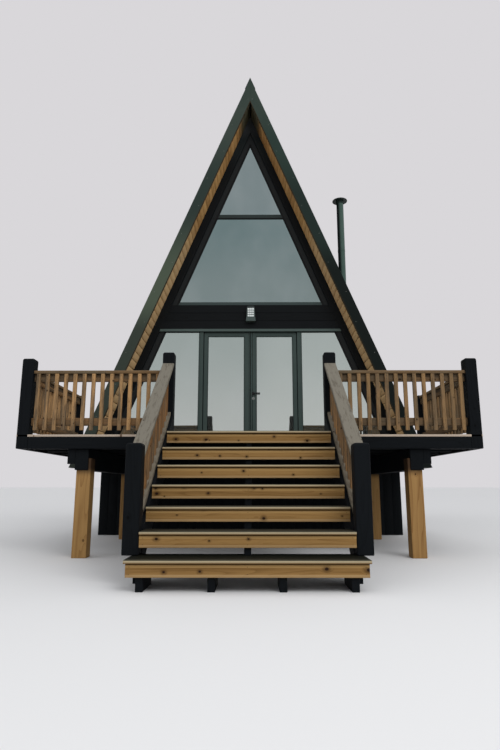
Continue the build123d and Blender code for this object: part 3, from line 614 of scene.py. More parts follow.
# %% A tree for rows of bars
def growing_tree(name, **kinds):
    """An empty tree of Geometry Nodes, and the inputs that it takes."""
    group = bpy.data.node_groups.new(name, "GeometryNodeTree")
    for key, kind in kinds.items():
        group.interface.new_socket(key, in_out="INPUT", socket_type="NodeSocket" + kind)
    group.interface.new_socket("Geometry", in_out="OUTPUT", socket_type="NodeSocketGeometry")
    tree = Tree(group)
    return tree, dict(zip(kinds, tree.node("NodeGroupInput", output=tuple(kinds))))


def set_copies(tree, take, points, shape, number=None):
    """Sets turned copies of a shape on points, makes them real and gives them their finish."""
    turn = tree.node("FunctionNodeEulerToRotation", inputs={0: take["Turn"]})
    copies = tree.node("GeometryNodeInstanceOnPoints", inputs={
        "Points": points, "Instance": shape, "Rotation": turn})
    if number:
        copies = tree.node("GeometryNodeStoreNamedAttribute", {
            "domain": "INSTANCE", "data_type": "FLOAT"}, {
            "Geometry": copies, "Name": "board", "Value": number})
    real = tree.node("GeometryNodeRealizeInstances", inputs={0: copies})
    dressed = tree.node("GeometryNodeSetMaterial", inputs={
        "Geometry": real, "Material": take["Finish"]})
    tree.node("NodeGroupOutput", inputs={0: dressed}, output=())


bars, take = growing_tree("row_of_bars", Length="Float", Width="Float", Thickness="Float",
                          Edge="Float", Count="Int", Start="Vector", Step="Vector", Turn="Vector",
                          Seed="Int", Finish="Material")
line = bars.node("GeometryNodeCurvePrimitiveLine", inputs={"End": bars.vector(take["Length"], 0.0)})
section = bars.node("GeometryNodeCurvePrimitiveQuadrilateral", inputs={
    "Width": take["Width"], "Height": take["Thickness"]})
rounded = bars.node("GeometryNodeFilletCurve", {"mode": "POLY"}, {
    "Curve": section, "Radius": take["Edge"], "Count": 2, "Limit Radius": True})
bar = bars.node("GeometryNodeCurveToMesh", inputs={
    "Curve": line, "Profile Curve": rounded, "Fill Caps": True})
places = bars.node("GeometryNodeMeshLine", inputs={
    "Count": take["Count"], "Start Location": take["Start"], "Offset": take["Step"]})
chance = bars.node("FunctionNodeRandomValue", inputs={"Seed": take["Seed"]}, output=1)
set_copies(bars, take, places, bar, chance)


def grown(tree, source=None, **values):
    """Runs a tree of Geometry Nodes once and returns the plain mesh that it makes."""
    holder = into_scene("holder", source or bpy.data.meshes.new("holder"))
    modifier = holder.modifiers.new("grow", "NODES")
    modifier.node_group = tree.tree
    identifiers = {s.name: s.identifier for s in tree.tree.interface.items_tree
                   if s.item_type == "SOCKET" and s.in_out == "INPUT"}
    for name, value in values.items():
        modifier[identifiers[name]] = value
    depsgraph = bpy.context.evaluated_depsgraph_get()
    mesh = bpy.data.meshes.new_from_object(holder.evaluated_get(depsgraph))
    holder.modifiers.remove(modifier)
    bpy.data.objects.remove(holder)
    return mesh


def floats(values):
    return tuple(float(v) for v in values)


def row(finish, size, start, lie, step=(0, 0, 0), count=1, edge=0.003, seed=1):
    """Bars of one length, width and thickness, from a first place on, laid by two directions."""
    length, width, thickness = floats(size)
    return grown(bars, Length=length, Width=width, Thickness=thickness, Edge=float(edge),
                 Count=count, Start=floats(start), Step=floats(step), Turn=facing(*lie), Seed=seed,
                 Finish=finish)


def gather(name, meshes, node=None, body=CABIN, slot=None):
    """Joins meshes, keeping their finishes and numbers, into one piece of the cabin."""
    bm = bmesh.new()
    finishes = []
    number = bm.verts.layers.float.new("board")
    for mesh in meshes:
        faces_before, verts_before = len(bm.faces), len(bm.verts)
        bm.from_mesh(mesh)
        bm.verts.ensure_lookup_table()
        number = bm.verts.layers.float.get("board") or number
        if "board" in mesh.attributes:
            for i, item in enumerate(mesh.attributes["board"].data):
                bm.verts[verts_before + i][number] = item.value
        finishes += [finish for finish in mesh.materials if finish not in finishes]
        places_of = [finishes.index(finish) for finish in mesh.materials]
        for face in list(bm.faces)[faces_before:]:
            face.material_index = places_of[face.material_index]
    put(name, mesh_from(bm, name, *finishes), node, body, slot)


trial = row(black_across, (1.0, 0.2, 0.05), (0, 0, 0), (X, Y))
print("a trial bar has", len(trial.vertices), "corners, from", min(v.co.y for v in trial.vertices),
      "to", max(v.co.y for v in trial.vertices), "m across")

# %% [markdown]
# The roof is sheet metal with standing seams. Each seam is two upturned edges folded together, a
# slim rib that runs straight down the slope. The seams are one row of bars on each side. The lower
# ends of the sheets are closed by a folded strip, and the ridge cap's hems are rounded.

# %% Standing seams and eaves
SEAMS, CAP_RISE, CAP_LEG = 16, 0.012, 0.260
SHEET_IN, SOFFIT_IN, SEAM_IN, EAVE_IN = 0.016, 0.188, 0.012, 0.0175
EAVE_WIDTH = 0.06
ROOF_LENGTH = ROOF_BACK - ROOF_FRONT
SEAM_GAP = ROOF_LENGTH / (SEAMS + 1)
seam_top = slope_z(0, -CAP_RISE) - CAP_LEG * COS
foot_z = ROOF_FOOT + EAVE_WIDTH / 2 * COS
outer, inner = slope_x(ROOF_FOOT, SHEET_IN), slope_x(ROOF_FOOT, SOFFIT_IN)
for name, side in SIDES.items():
    seams = row(roof_paint, ((seam_top - ROOF_FOOT) / COS - 0.02, 0.012, 0.016),
                (side * slope_x(seam_top, SEAM_IN), ROOF_FRONT + SEAM_GAP, seam_top),
                (down_slope(side), Y), (0, SEAM_GAP, 0), SEAMS, edge=0.005)
    eave = row(roof_paint, (ROOF_LENGTH, EAVE_WIDTH, 0.006),
               (side * slope_x(foot_z, EAVE_IN), ROOF_FRONT, foot_z), (Y, down_slope(side)),
               edge=0.002)
    sole = row(roof_paint, (ROOF_LENGTH, outer - inner, 0.003),
               (side * (outer + inner) / 2, ROOF_FRONT, ROOF_FOOT - 0.0015), (Y, X), edge=0.001)
    gather("roof_seams_" + name, [seams, eave, sole], slot="roof_metal")
    soften(0.003, lit_verge_paint[name], "bargeboards_" + name)
soften(0.002, roof_paint, "ridge_cap")
print("seams every", round(SEAM_GAP, 3), "m")

# %% [markdown]
# Screws and nails are tiny, but they tell how the cabin is put together. One tree puts the same
# low, domed head on every vertex of a mesh that holds only places. A head has eight sides, because
# there are hundreds of them.

# %% A tree for screw heads
heads, take = growing_tree("screw_heads", Places="Geometry", Radius="Float", Height="Float",
                           Turn="Vector", Finish="Material")
head = heads.node("GeometryNodeMeshCone", output="Mesh",
                  inputs={"Vertices": 8, "Radius Top": take["Radius"] * 0.7,
                          "Radius Bottom": take["Radius"], "Depth": take["Height"]})
set_copies(heads, take, take["Places"], head)
OUT_FRONT, OUT_UP = (math.pi / 2, 0, 0), (0, 0, 0)
VERGE_SCREWS, VERGE_STEP = 13, 0.55


def screws(finish, places, radius=0.004, height=0.001, turn=OUT_UP):
    source = bpy.data.meshes.new("places")
    source.from_pydata([tuple(p) for p in places], [], [])
    return grown(heads, source, Radius=radius, Height=height, Turn=turn, Finish=finish)


verge_places = [(side * slope_x(z, depth), back(2.67) + 0.0005, z) for side in SIDES.values()
                for z, depth in ((ROOF_FOOT + 0.3 + k * VERGE_STEP, 0.06 if k % 2 else 0.13)
                                 for k in range(VERGE_SCREWS))]
gather("verge_screws", [screws(screw_zinc, verge_places, 0.007, 0.0015, OUT_FRONT)],
       slot="roof_metal")
print("verge screws:", len(verge_places))

# %% [markdown]
# Under the metal the roof is lined with pine boards that run from front to back and show under the
# verge. They are bars again, 55 to a side, with a narrow dark joint between them.

# %% Lining boards
LINING, LINING_JOINT, LINING_THICK = 55, 0.009, 0.025
lining_top = slope_z(0, LINING_IN)
lining_pitch = (lining_top - ROOF_FOOT) / COS / LINING
for name, side in SIDES.items():
    step = down_slope(side) * lining_pitch
    first = Vector((side * slope_x(lining_top, LINING_IN - LINING_THICK / 2), ROOF_FRONT,
                    lining_top)) + step / 2
    boards = row(lining_pine, (ROOF_LENGTH, lining_pitch - LINING_JOINT, LINING_THICK), first,
                 (Y, down_slope(side)), step, LINING, edge=0.007, seed=4 + side)
    gather("lining_boards_" + name, [boards], "roof_lining_" + name)
print("lining boards", round(lining_pitch, 3), "m wide")

# %% [markdown]
# Some boards aren't plain bars: they are cut on the slope, or follow the stair. `plank` takes any
# flat outline, draws it out in one direction and rounds its edges. `block` is a plank with six
# square sides. They close the walls' band, front and rear, and the rear wall's panel.

# %% A board with any outline
def pairs(items):
    """Each item with the next one, and the last with the first."""
    return list(zip(items, items[1:] + items[:1]))


def plank(outline, run, edge, finish, number=0.5, segments=1):
    bm = bmesh.new()
    near = [bm.verts.new(p) for p in outline]
    far = [bm.verts.new(Vector(p) + Vector(run)) for p in outline]
    bm.faces.new(near)
    bm.faces.new(far[::-1])
    for (a, b), (c, d) in zip(pairs(near), pairs(far)):
        bm.faces.new((a, c, d, b))
    bmesh.ops.recalc_face_normals(bm, faces=bm.faces)
    if edge:
        bmesh.ops.bevel(bm, geom=bm.edges[:], offset=edge, segments=segments, profile=0.5,
                        affect="EDGES", clamp_overlap=True)
    numbers = [number] * len(bm.verts)
    return set_numbers(mesh_from(bm, "plank", finish), numbers)


def block(x_low, x_high, y_low, y_high, z_low, z_high, edge, finish, segments=1):
    return plank([(x_low, y_low, z_low), (x_high, y_low, z_low), (x_high, y_low, z_high),
                  (x_low, y_low, z_high)], (0, y_high - y_low, 0), edge, finish, segments=segments)


def gable_plank(low, high, depth, y, thick, edge, finish, number=0.5):
    """A plank across the cabin from one slope to the other."""
    outline = [(side * slope_x(z, depth), y, z)
               for side, z in ((-1, low), (1, low), (1, high), (-1, high))]
    return plank(outline, (0, thick, 0), edge, finish, number)


COVER, JOINT, BAND_BOARDS = 0.022, 0.003, 3
PANEL_HALF, PANEL_BOARDS = 0.896, 12
band_height = (BAND_HIGH - BAND_LOW) / BAND_BOARDS
inner_front, inner_back = WALL_FRONT + WALL_DEPTH, WALL_BACK - WALL_DEPTH
band = [gable_plank(DECK + 2.148, DECK + 2.196, STRIP_IN, WALL_FRONT - 0.0015, 0.004, 0.001,
                    strip_paint)]
for core_y, cover_y in ((WALL_FRONT + COVER, WALL_FRONT), (inner_back, WALL_BACK - COVER)):
    band.append(gable_plank(BAND_LOW, BAND_HIGH, STRIP_IN, core_y, WALL_DEPTH - COVER, 0,
                            wall_black))
    band += [gable_plank(BAND_LOW + k * band_height + JOINT / 2,
                         BAND_LOW + (k + 1) * band_height - JOINT / 2, STRIP_IN, cover_y, COVER,
                         0.002, wall_black, (k * 0.618) % 1) for k in range(BAND_BOARDS)]
gather("band_boards", band, "gable_bands")
gather("rear_boards", [
    block(-PANEL_HALF, PANEL_HALF, inner_back, WALL_BACK - COVER, DECK, BAND_LOW, 0, black_upright),
    row(black_upright, (BAND_LOW - DECK, 0.1463, COVER),
        (-PANEL_HALF + 0.0747, WALL_BACK - COVER / 2, DECK), (Z, X),
        (2 * PANEL_HALF / PANEL_BOARDS, 0, 0), PANEL_BOARDS, edge=0.002, seed=9)], "rear_panel")
soften(0.002, slope_black, "gable_wall_left", "gable_wall_right")
print("band boards:", len(band))

# %% [markdown]
# Windows and doors are aluminium frames. Their solids already have the glazing bead, so they only
# need rounded edges. Between bead and pane lies a black rubber gasket, a ring between two outlines
# of the pane. A pane's sides are upright or lie along the slope, so its outline is easy to move in.

# %% Frames and gaskets
def pane_outline(by, low, high=None, left=None, right=None):
    """Corners of a pane moved in. Without a place, a side lies along the slope up to the peak."""
    def corner(side, x, z):
        return (side * slope_x(z, GLASS_IN + by) if x is None else x - side * by, z)

    foot = [corner(-1, left, low + by), corner(1, right, low + by)]
    if high is None:
        return foot + [(0, slope_z(0, GLASS_IN + by))]
    return foot + [corner(1, right, high - by), corner(-1, left, high - by)]


def gasket(pane, edge, y):
    """A rubber frame round a pane, from a front plane on."""
    bm = bmesh.new()
    outer, inner, y_back = edge - 0.001, edge + 0.006, y + 0.0035
    loops = [[bm.verts.new((x, depth, z)) for x, z in pane_outline(by, *pane)]
             for by, depth in ((outer, y), (inner, y), (inner, y_back), (outer, y_back))]
    for near, far in pairs(loops):
        for (a, b), (c, d) in zip(pairs(near), pairs(far)):
            bm.faces.new((a, b, d, c))
    return mesh_from(bm, "gasket", gasket_black)


BEAD, SIDE_PANE_X = 0.014, 0.911
SIDE_LOW, SIDE_HIGH = DECK + 0.080, BAND_LOW - 0.032
PANES = ((BAND_HIGH + 0.049, TRANSOM_LOW), (TRANSOM_HIGH,),
         (SIDE_LOW, SIDE_HIGH, None, -SIDE_PANE_X), (SIDE_LOW, SIDE_HIGH, SIDE_PANE_X))
gaskets = [gasket(outline, BEAD, front + off) for front in (WALL_FRONT + 0.052, WALL_BACK - 0.078)
           for outline in PANES for off in (-0.003, 0.0235)]
gather("window_gaskets", gaskets, slot="frame_metal")
soften(0.002, loft_frame_paint, "loft_windows")
soften(0.002, frame_paint, "sidelight_frames", "door_frame", "door_leaf_left", "door_leaf_right")
print("gaskets:", len(gaskets))

# %% [markdown]
# Each door leaf has a raised metal strip and a black seal on its meeting edge, and seals at the
# other edge and at the head. The seals are drawn wide, so they are also painted shadow in the gaps
# round the leaf. They ride on the leaf. The right leaf has the wider strip.

# %% Strips and seals of the doors
LEAF_FRONT, LEAF_BACK = WALL_FRONT + 0.056, WALL_FRONT + 0.112
PANE_X, PANE_Z = (0.097, 0.774), (DECK + 0.112, DECK + 2.078)
MEETING, OUTER_SEAL_X, TRIM_LENGTH = 0.0055, 0.8395, 2.12
STRIPS = {"left": (0.0125, 0.005), "right": (0.0245, 0.008)}
for name, side in SIDES.items():
    pane_of_leaf = (*PANE_Z, *sorted(side * x for x in PANE_X))
    strip, seal_and_shadow_width = STRIPS[name]
    head_x = min(side * MEETING, side * (MEETING + 0.84))
    trims = [gasket(pane_of_leaf, BEAD, LEAF_FRONT + 0.013),
             gasket(pane_of_leaf, 0, LEAF_FRONT + 0.0395)]
    for finish, size, x, out, z, lie, edge in (
        (frame_paint, (TRIM_LENGTH, strip, 0.006), side * (MEETING + strip / 2), 0.002, 0.03,
         (Z, X), 0.0015),
        (gasket_black, (TRIM_LENGTH, seal_and_shadow_width, 0.002), side * (0.006 + strip + seal_and_shadow_width / 2), 0.0005, 0.03,
         (Z, X), 0.003),
        (gasket_black, (TRIM_LENGTH, 0.012, 0.0015), side * OUTER_SEAL_X, 0.0005, 0.03, (Z, X),
         0.003),
        (gasket_black, (0.84, 0.006, 0.0015), head_x, 0.0005, 2.147, (X, Z), 0.003),
    ):
        trims.append(row(finish, size, (x, LEAF_FRONT - out, DECK + z), lie, edge=edge))
    gather("door_trim_" + name, trims, body=name + "_door", slot="frame_metal")
print("trims on a leaf:", len(trims))

# %% [markdown]
# The door furniture is turned and forged: round plates, a neck and a slim lever, and a lock
# cylinder under it. `lathe` turns a profile of radius and height about an axis and closes it at
# both ends. The lever is a slot outline with well rounded edges.

# %% Door handle
def lathe(profile, place, finish, sides=32):
    """Turns (radius, height) pairs about the local Z axis, then moves the shape by a matrix."""
    bm = bmesh.new()
    rings = []
    for radius, height in profile:
        angles = [2 * math.pi * i / sides for i in range(sides if radius else 1)]
        rings.append([bm.verts.new((radius * math.cos(a), radius * math.sin(a), height))
                      for a in angles])
    for low, high in zip(rings, rings[1:]):
        for i, j in pairs(list(range(sides))):
            corners = (low[i % len(low)], low[j % len(low)], high[j % len(high)],
                       high[i % len(high)])
            bm.faces.new(dict.fromkeys(corners)).smooth = True
    bmesh.ops.transform(bm, matrix=place, verts=bm.verts)
    mesh = mesh_from(bm, "lathe", finish)
    mesh.set_sharp_from_angle(angle=0.6)
    return mesh


HANDLE_X, HANDLE_Z, LOCK_DROP = 0.056, DECK + 1.019, 0.091
LEVER_HALF, LEVER_THICK, KEYHOLE_HALF = 0.009, 0.014, 0.0015
NECK = ((0, 0), (0.0095, 0), (0.0085, 0.014), (0.0085, 0.040), (0, 0.041))
handle = []
for face, outward in ((LEAF_FRONT, -1), (LEAF_BACK, 1)):
    turned = Matrix.Rotation(-outward * math.pi / 2, 4, "X")
    places = [Matrix.Translation((HANDLE_X, face, HANDLE_Z - drop)) @ turned
              for drop in (0, LOCK_DROP)]
    for place, thick, finish in zip(places, (0.008, 0.007), (handle_paint, lock_steel)):
        plate = ((0, -0.002), (0.026, -0.002), (0.026, thick - 0.002), (0.024, thick),
                 (0.013, thick), (0.012, thick + 0.001), (0, thick + 0.001))
        handle.append(lathe(plate, place, finish))
    lever_y, lock_y = face + outward * 0.0445, face + outward * 0.0075
    lever = [(x + LEVER_HALF * math.cos(first + k * math.pi / 8), lever_y - LEVER_THICK / 2,
              HANDLE_Z + LEVER_HALF * math.sin(first + k * math.pi / 8))
             for x, first in ((HANDLE_X + 0.111, -math.pi / 2), (HANDLE_X - 0.001, math.pi / 2))
             for k in range(9)]
    # The keyhole is a black block, painted shade of the key slot.
    handle += [lathe(NECK, places[0], handle_paint),
               plank(lever, (0, LEVER_THICK, 0), 0.004, handle_paint, segments=2),
               block(HANDLE_X - KEYHOLE_HALF, HANDLE_X + KEYHOLE_HALF, lock_y - 0.003,
                     lock_y + 0.003, HANDLE_Z - LOCK_DROP - 0.006, HANDLE_Z - LOCK_DROP + 0.004, 0,
                     gasket_black)]
gather("lever_handles", handle, "door_handle")
print("handle pieces:", len(handle))

# %% [markdown]
# The deck is laid with boards that run from the front to the wall, behind one border board that
# closes their ends. The outermost boards stop where the walls' slanted strips stand, and a short
# board fills the place beside each strip. Everything is screwed down over each joist.

# %% Deck boards
DECK_HALF, FLOOR_HALF = 2.7412, 2.6677
DECK_BOARDS, DECK_JOINT, BORDER = 38, 0.005, 0.139
BOARDS_START, BOARDS_END, OUTER_END, FILLER_START, FILLER_X = 0.144, 3.087, 2.665, 2.672, 2.660
JOISTS, JOISTS_START, JOISTS_END, JOIST_HALF, WALL_JOIST = 6, 0.141, 2.625, 0.0225, 3.0425
deck_pitch = 2 * DECK_HALF / DECK_BOARDS
deck_width = deck_pitch - DECK_JOINT
inner = DECK_HALF - deck_pitch + DECK_JOINT / 2


def deck_row(x, y_low, y_high, width, seed, count=1):
    return row(deck_pine, (y_high - y_low, width, BOARD), (x, back(y_low), DECK - BOARD / 2),
               (Y, X), (deck_pitch, 0, 0), count, seed=seed)


deck = [row(deck_edge_pine, (2 * DECK_HALF, BORDER, BOARD),
            (-DECK_HALF, back(BORDER / 2), DECK - BOARD / 2), (X, Y), edge=0.004),
        deck_row(-DECK_HALF + deck_pitch * 1.5, BOARDS_START, BOARDS_END, deck_width, 11,
                 DECK_BOARDS - 2)]
for side in SIDES.values():
    deck += [deck_row(side * (DECK_HALF - deck_pitch / 2), BOARDS_START, OUTER_END, deck_width,
                      12 + side),
             deck_row(side * (inner + FILLER_X) / 2, FILLER_START, BOARDS_END, FILLER_X - inner,
                      15 + side)]
joist_step = (JOISTS_END - JOISTS_START) / (JOISTS - 1)
joist_lines = [JOISTS_START + k * joist_step + JOIST_HALF for k in range(JOISTS)]
screw_places = [(-DECK_HALF + deck_pitch * (k + 0.5) + off, back(y), DECK)
                for k in range(DECK_BOARDS) for y in joist_lines + [WALL_JOIST]
                for off in (-0.045, 0.045) if 0 < k < DECK_BOARDS - 1 or y < 2.6]
deck.append(screws(screw_dark, screw_places))
gather("deck_planks", deck, "deck_boards")
print("deck screws:", len(screw_places))

# %% [markdown]
# The treads are two boards each, and three at the top and at the bottom, where the steps are
# deeper. Under every nosing hangs a riser board with a gap below it.

# %% Treads and risers
LAST = TREADS - 1
DEEP, TREAD_DEPTH, TREAD_JOINT = {0: 0.430, LAST: 0.423}, 0.300, 0.005
RISER, RISER_THICK, RISER_IN = 0.104, 0.025, 0.020
treads, risers, tread_screws, riser_screws = [], [], [], []
for number in range(TREADS):
    y, z = back(-TOP_DEPTH - number * GOING), DECK - number * RISE
    half, riser_half = (0.962, 0.947) if number == LAST else (0.900, 0.900)
    count = 3 if number in DEEP else 2
    width = (DEEP.get(number, TREAD_DEPTH) - TREAD_JOINT * (count - 1)) / count
    pitch = width + TREAD_JOINT
    treads.append(row(tread_pine, (2 * half, width, BOARD), (-half, y + width / 2, z - BOARD / 2),
                      (X, Y), (0, pitch, 0), count, edge=0.006, seed=20 + number))
    risers.append(row(step_pine, (2 * riser_half, RISER, RISER_THICK),
                      (-riser_half, y + RISER_IN + RISER_THICK / 2, z - BOARD - RISER / 2), (X, Z),
                      edge=0.004, seed=40 + number * 3))
    tread_screws += [(x, y + width / 2 + k * pitch + off, z) for off in (-0.04, 0.04)
                     for x in (0.05 - half, -0.012, half - 0.05) for k in range(count)]
    riser_screws += [(x, y + RISER_IN + 0.0005, z - BOARD - drop) for drop in (0.025, 0.079)
                     for x in (0.03 - riser_half, 0.0, riser_half - 0.03)]
gather("tread_boards", treads + [screws(screw_dark, tread_screws)], "stair_treads")
gather("riser_planks", risers + [screws(screw_dark, riser_screws, 0.0035, 0.001, OUT_FRONT)],
       "riser_boards")
print("tread screws:", len(tread_screws), "riser screws:", len(riser_screws))

# %% [markdown]
# The railings are made the way they were built: a flat cap rail on top, two flat rails on edge, and
# upright balusters nailed to their outer face. The balusters run on below the lower rail. One
# function places a straight run of railing on the deck, for the front and for the side.

# %% Railings of the deck
NEWEL_OUT, POST_IN, SIDE_END = 1.0445, DECK_HALF - POST, 1.960
CAP_TOP, CAP_WIDTH, CAP_THICK = DECK + 0.777, 0.090, 0.040
RAIL_HEIGHT, RAIL_THICK, BALUSTER_WIDTH, BALUSTER_THICK = 0.092, 0.040, 0.045, 0.030
BALUSTER_LOW, BALUSTER_HIGH = DECK + 0.054, CAP_TOP - CAP_THICK
RAILS = (BALUSTER_HIGH - RAIL_HEIGHT / 2, DECK + 0.203 - RAIL_HEIGHT / 2)


def railing(start, along, outward, length, cap_finish, rail_finish, count, seed):
    """A cap, and rails with balusters, from a start point on the posts' middle line."""
    face = Vector(start) + outward * (POST / 2 - 0.030)
    rail_line = face - outward * (BALUSTER_THICK + RAIL_THICK / 2)
    step = along * (length / count)
    first = face - outward * (BALUSTER_THICK / 2) + step / 2 + Z * BALUSTER_LOW
    nails = [face + step * (k + 0.5) + Z * (level + off) for k in range(count) for level in RAILS
             for off in (-0.022, 0.022)]
    out = OUT_FRONT if outward.y else (0, math.pi / 2 * outward.x, 0)
    pieces = [row(rail_finish, (length, RAIL_HEIGHT, RAIL_THICK), rail_line + Z * level,
                  (along, Z), edge=0.004, seed=seed + int(level * 100)) for level in RAILS]
    pieces += [row(baluster_pine, (BALUSTER_HIGH - BALUSTER_LOW, BALUSTER_WIDTH, BALUSTER_THICK),
                   first, (Z, along), step, count, seed=seed + 5),
               screws(screw_dark, nails, 0.003, 0.001, out)]
    return row(cap_finish, (length, CAP_WIDTH, CAP_THICK),
               Vector(start) + Z * (CAP_TOP - CAP_THICK / 2), (along, outward), edge=0.008,
               seed=seed), pieces


runs = {"front": [], "side": []}
for side in SIDES.values():
    runs["front"].append(railing(
        (NEWEL_OUT if side > 0 else -POST_IN, back(POST / 2), 0), X, -Y, POST_IN - NEWEL_OUT,
        cap_x, rail_x, 14, 60 + side))
    runs["side"].append(railing(
        (side * (DECK_HALF - POST / 2), back(POST), 0), Y, X * side, SIDE_END - POST, cap_y,
        rail_y, 16, 70 + side))
gather("railing_caps", [cap for pair in zip(*runs.values()) for cap, _ in pair], "cap_rails")
for place, both_sides in runs.items():
    gather(place + "_railing", [p for _, pieces in both_sides for p in pieces],
           place + "_balusters")
print("runs of railing:", sum(len(both_sides) for both_sides in runs.values()))

# %% [markdown]
# The stair's balusters are upright too, but their ends are cut on the rake, so each is a plank with
# four corners. The bottom rail is a raking board between the newels.

# %% Stair balustrade
FLIGHT_LENGTH, FLIGHT_BALUSTERS, BALUSTRADE_X = 1.585, 14, 0.974
FLIGHT_LOW, FLIGHT_HIGH = back(-FLIGHT_LENGTH), back(0)
FOOT_TOP, BALUSTER_FOOT, HANDRAIL_UNDER = -0.048, -0.049, 0.5465
fall = CAP_THICK * math.hypot(1, RISE / GOING)


def raked(x, y_low, y_high, low, high):
    """Outline of a board along the stair, between two lines parallel to the nosings."""
    return [(x, y, DECK + (y - back(-TOP_DEPTH)) * RISE / GOING + above) for y, above in
            ((y_low, low), (y_high, low), (y_high, high), (y_low, high))]


stair_rail = []
for side in SIDES.values():
    middle = side * BALUSTRADE_X
    stair_rail.append(plank(raked(middle - CAP_WIDTH / 2, FLIGHT_LOW, FLIGHT_HIGH, FOOT_TOP,
                                  FOOT_TOP - fall), (CAP_WIDTH, 0, 0), 0.004, foot_pine,
                            0.3 + side * 0.2))
    for k in range(FLIGHT_BALUSTERS):
        y = FLIGHT_LOW + (k + 0.5) * FLIGHT_LENGTH / FLIGHT_BALUSTERS
        outline = raked(middle - BALUSTER_THICK / 2, y - BALUSTER_WIDTH / 2,
                        y + BALUSTER_WIDTH / 2, BALUSTER_FOOT, HANDRAIL_UNDER - fall)
        stair_rail.append(plank(outline, (BALUSTER_THICK, 0, 0), 0.003, baluster_pine,
                                (k * 0.618 + side * 0.21) % 1))
gather("stair_railing", stair_rail, "stair_balusters")
print("stair railing pieces:", len(stair_rail))

# %% [markdown]
# Indoors, the floors are boards on a slab, and the loft's underside is boarded as well. They show
# when the doors stand open. The black skirt that closes the space under the wall is upright boards.

# %% Floors and skirt
PLY = 0.020
LOFT_LOW, LOFT_HIGH = DECK + 2.3, DECK + 2.5
SKIRT_HALF, SKIRT_BOARDS = FLOOR_HALF - 0.108, 34


def slab(finish, low, high, y_low, y_high):
    return gable_plank(low, high, LINING_IN, y_low, y_high - y_low, 0, finish)


def floor_row(finish, half, z, y_low, y_high, pitch, seed):
    count = int(2 * half / pitch)
    width = 2 * half / count
    return row(finish, (y_high - y_low, width - 0.002, PLY), (-half + width / 2, y_low, z), (Y, X),
               (width, 0, 0), count, edge=0.0015, seed=seed)


sill_half = slope_x(DECK, STRIP_IN)
gather("floor_planks", [
    block(-sill_half, sill_half, WALL_FRONT - 0.001, WALL_FRONT + 0.030, DECK, DECK + 0.003, 0.001,
          strip_paint),
    slab(black_across, DECK - 0.120, DECK - PLY, WALL_FRONT, WALL_BACK),
    floor_row(room_pine, FLOOR_HALF, DECK - PLY / 2, WALL_FRONT, WALL_BACK, 0.135, 31)],
    "cabin_floor")
gather("loft_planks", [
    slab(room_pine, LOFT_LOW + PLY, LOFT_HIGH - PLY, inner_front, inner_back),
    floor_row(lining_pine, slope_x(LOFT_LOW + PLY, LINING_IN), LOFT_LOW + PLY / 2, inner_front,
              inner_back, 0.120, 32),
    floor_row(room_pine, slope_x(LOFT_HIGH, LINING_IN), LOFT_HIGH - PLY / 2, inner_front,
              inner_back, 0.135, 33)], "loft_floor")
pitch, top = 2 * SKIRT_HALF / SKIRT_BOARDS, DECK - BOARD
gather("skirt_boards", [
    row(black_upright, (top, pitch - JOINT, COVER), (-SKIRT_HALF + pitch / 2, back(3.078), 0),
        (Z, X), (pitch, 0, 0), SKIRT_BOARDS, edge=0.002, seed=35),
    # A black sheet behind the skirt boards, painted shade in their joints.
    row(gasket_black, (2 * SKIRT_HALF, top, 0.003), (-SKIRT_HALF, back(3.0885), top / 2), (X, Z),
        edge=0)], "front_skirt")
print("floors and skirt boarded")

# %% [markdown]
# The wall lamp is a small cast box on a plate. Its upper half is opal glass behind a grid of flat
# bars.

# %% Wall lamp
LAMP_X, LAMP_FRONT, LAMP_BACK = 0.010, WALL_FRONT - 0.100, WALL_FRONT - 0.018
LAMP_LOW, LAMP_GLASS, LAMP_HOOD, LAMP_HIGH = DECK + 2.316, DECK + 2.400, DECK + 2.562, DECK + 2.606


def lamp_block(half, y_low, y_high, z_low, z_high, edge, finish=lamp_paint, segments=1, x=0.0):
    return block(LAMP_X + x - half, LAMP_X + x + half, LAMP_FRONT + y_low, y_high, z_low, z_high,
                 edge, finish, segments)


def tapered(foot, top, z_low, z_high, y_front, inner=None):
    """A plate whose sides lean inwards: the whole width, or the stile outside an inner line."""
    far_top, far_foot = (-top, -foot) if inner is None else (inner, inner)
    outline = [(LAMP_X + x, LAMP_FRONT + y_front, z) for x, z in
               ((foot, z_low), (top, z_high), (far_top, z_high), (far_foot, z_low))]
    return plank(outline, (0, LAMP_BACK - LAMP_FRONT - y_front, 0), 0.003, lamp_paint, segments=2)


fitting = [lamp_block(0.070, 0.080, WALL_FRONT, LAMP_LOW, LAMP_HIGH, 0.006, segments=2),
           tapered(0.090, 0.088, LAMP_LOW, LAMP_LOW + 0.014, 0),
           tapered(0.086, 0.078, LAMP_LOW + 0.012, LAMP_GLASS, 0.004),
           lamp_block(0.066, 0.002, LAMP_BACK, LAMP_HOOD, LAMP_HIGH, 0.018, hood_paint, 4)]
bar_back = LAMP_FRONT + 0.014
for s in SIDES.values():
    fitting += [tapered(s * 0.078, s * 0.070, LAMP_GLASS, LAMP_HOOD, 0.004, s * 0.058),
                lamp_block(0.0015, 0.008, bar_back, LAMP_GLASS, LAMP_HOOD, 0, x=s * 0.020)]
for k in (0.25, 0.5, 0.75):
    z = LAMP_GLASS + k * (LAMP_HOOD - LAMP_GLASS)
    fitting.append(lamp_block(0.060, 0.006, bar_back, z - 0.0045, z + 0.0045, 0.001))
gather("lamp_body", fitting, "wall_lamp")
gather("lamp_opal", [lamp_block(0.059, 0.012, LAMP_BACK, LAMP_GLASS - 0.002, LAMP_HOOD + 0.002,
                                0.004, opal_white, 2)], "lamp_glass")
print("lamp pieces:", len(fitting))

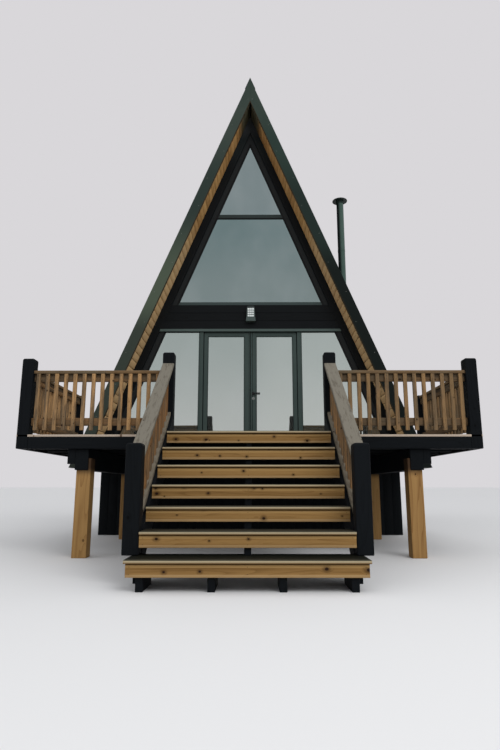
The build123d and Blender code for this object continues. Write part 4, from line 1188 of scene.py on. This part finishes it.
# %% [markdown]
# The flue is a pipe in three lengths, each end pushed into the next with a raised bead. Both the
# bead and the cap are profiles: pairs of a radius and a height above the joint or the pipe's top.

# %% Flue
FLUE_X, FLUE_Y, FLUE_R = 1.834, WALL_FRONT + 0.760, 0.0705
FLUE_TOP, FLUE_JOINTS = DECK + 5.127, (DECK + 3.05, DECK + 4.05)
JOINT_SHAPE = ((0, -0.030), (0.003, -0.026), (0.003, -0.012), (0, -0.008), (0, 0), (0.0015, 0.002),
               (0.0015, 0.020), (0, 0.022))
COLLAR = ((-0.004, -0.055), (0.009, -0.055), (0.009, -0.048), (0.006, -0.044), (0.006, -0.002))
HOOD = ((0.145, -0.002), (0.150, 0.002), (0.150, 0.011), (0.147, 0.014), (0.090, 0.036),
        (0.030, 0.056), (0.016, 0.059), (0, 0.060))
flue_foot = slope_z(FLUE_X, 0.020)
axis = Matrix.Translation((FLUE_X, FLUE_Y, 0))
pipe = [(0, flue_foot), (FLUE_R, flue_foot),
        *((FLUE_R + out, joint + up) for joint in FLUE_JOINTS for out, up in JOINT_SHAPE),
        (FLUE_R, FLUE_TOP), (0, FLUE_TOP)]
cap = [(0, FLUE_TOP - 0.050), *((FLUE_R + out, FLUE_TOP + up) for out, up in COLLAR),
       *((radius, FLUE_TOP + up) for radius, up in HOOD)]
gather("flue_lengths", [lathe(pipe, axis, flue_paint, 40)], "flue_pipe")
gather("flue_hood", [lathe(cap, axis, cap_paint, 48)], "flue_cap")
soften(0.001, flue_paint, "flue_flashing")
print("flue", round(FLUE_TOP - flue_foot, 2), "m above the slope")

# %% [markdown]
# The finish of a node that needs no other shape is simply assigned: the roof's slabs, the panes and
# the hinges.

# %% Finishes for the nodes that stay
for finish, nodes in (
    (roof_paint, ("roof_left", "roof_right")), (upper_pane, ("loft_glass",)),
    (lower_pane, ("sidelight_glass", "door_glass_left", "door_glass_right")),
    (hinge_paint, ("hinge_pins", "hinge_barrels_left", "hinge_barrels_right")),
):
    for node in nodes:
        frame["nodes"][node].data.materials.clear()
        frame["nodes"][node].data.materials.append(finish)
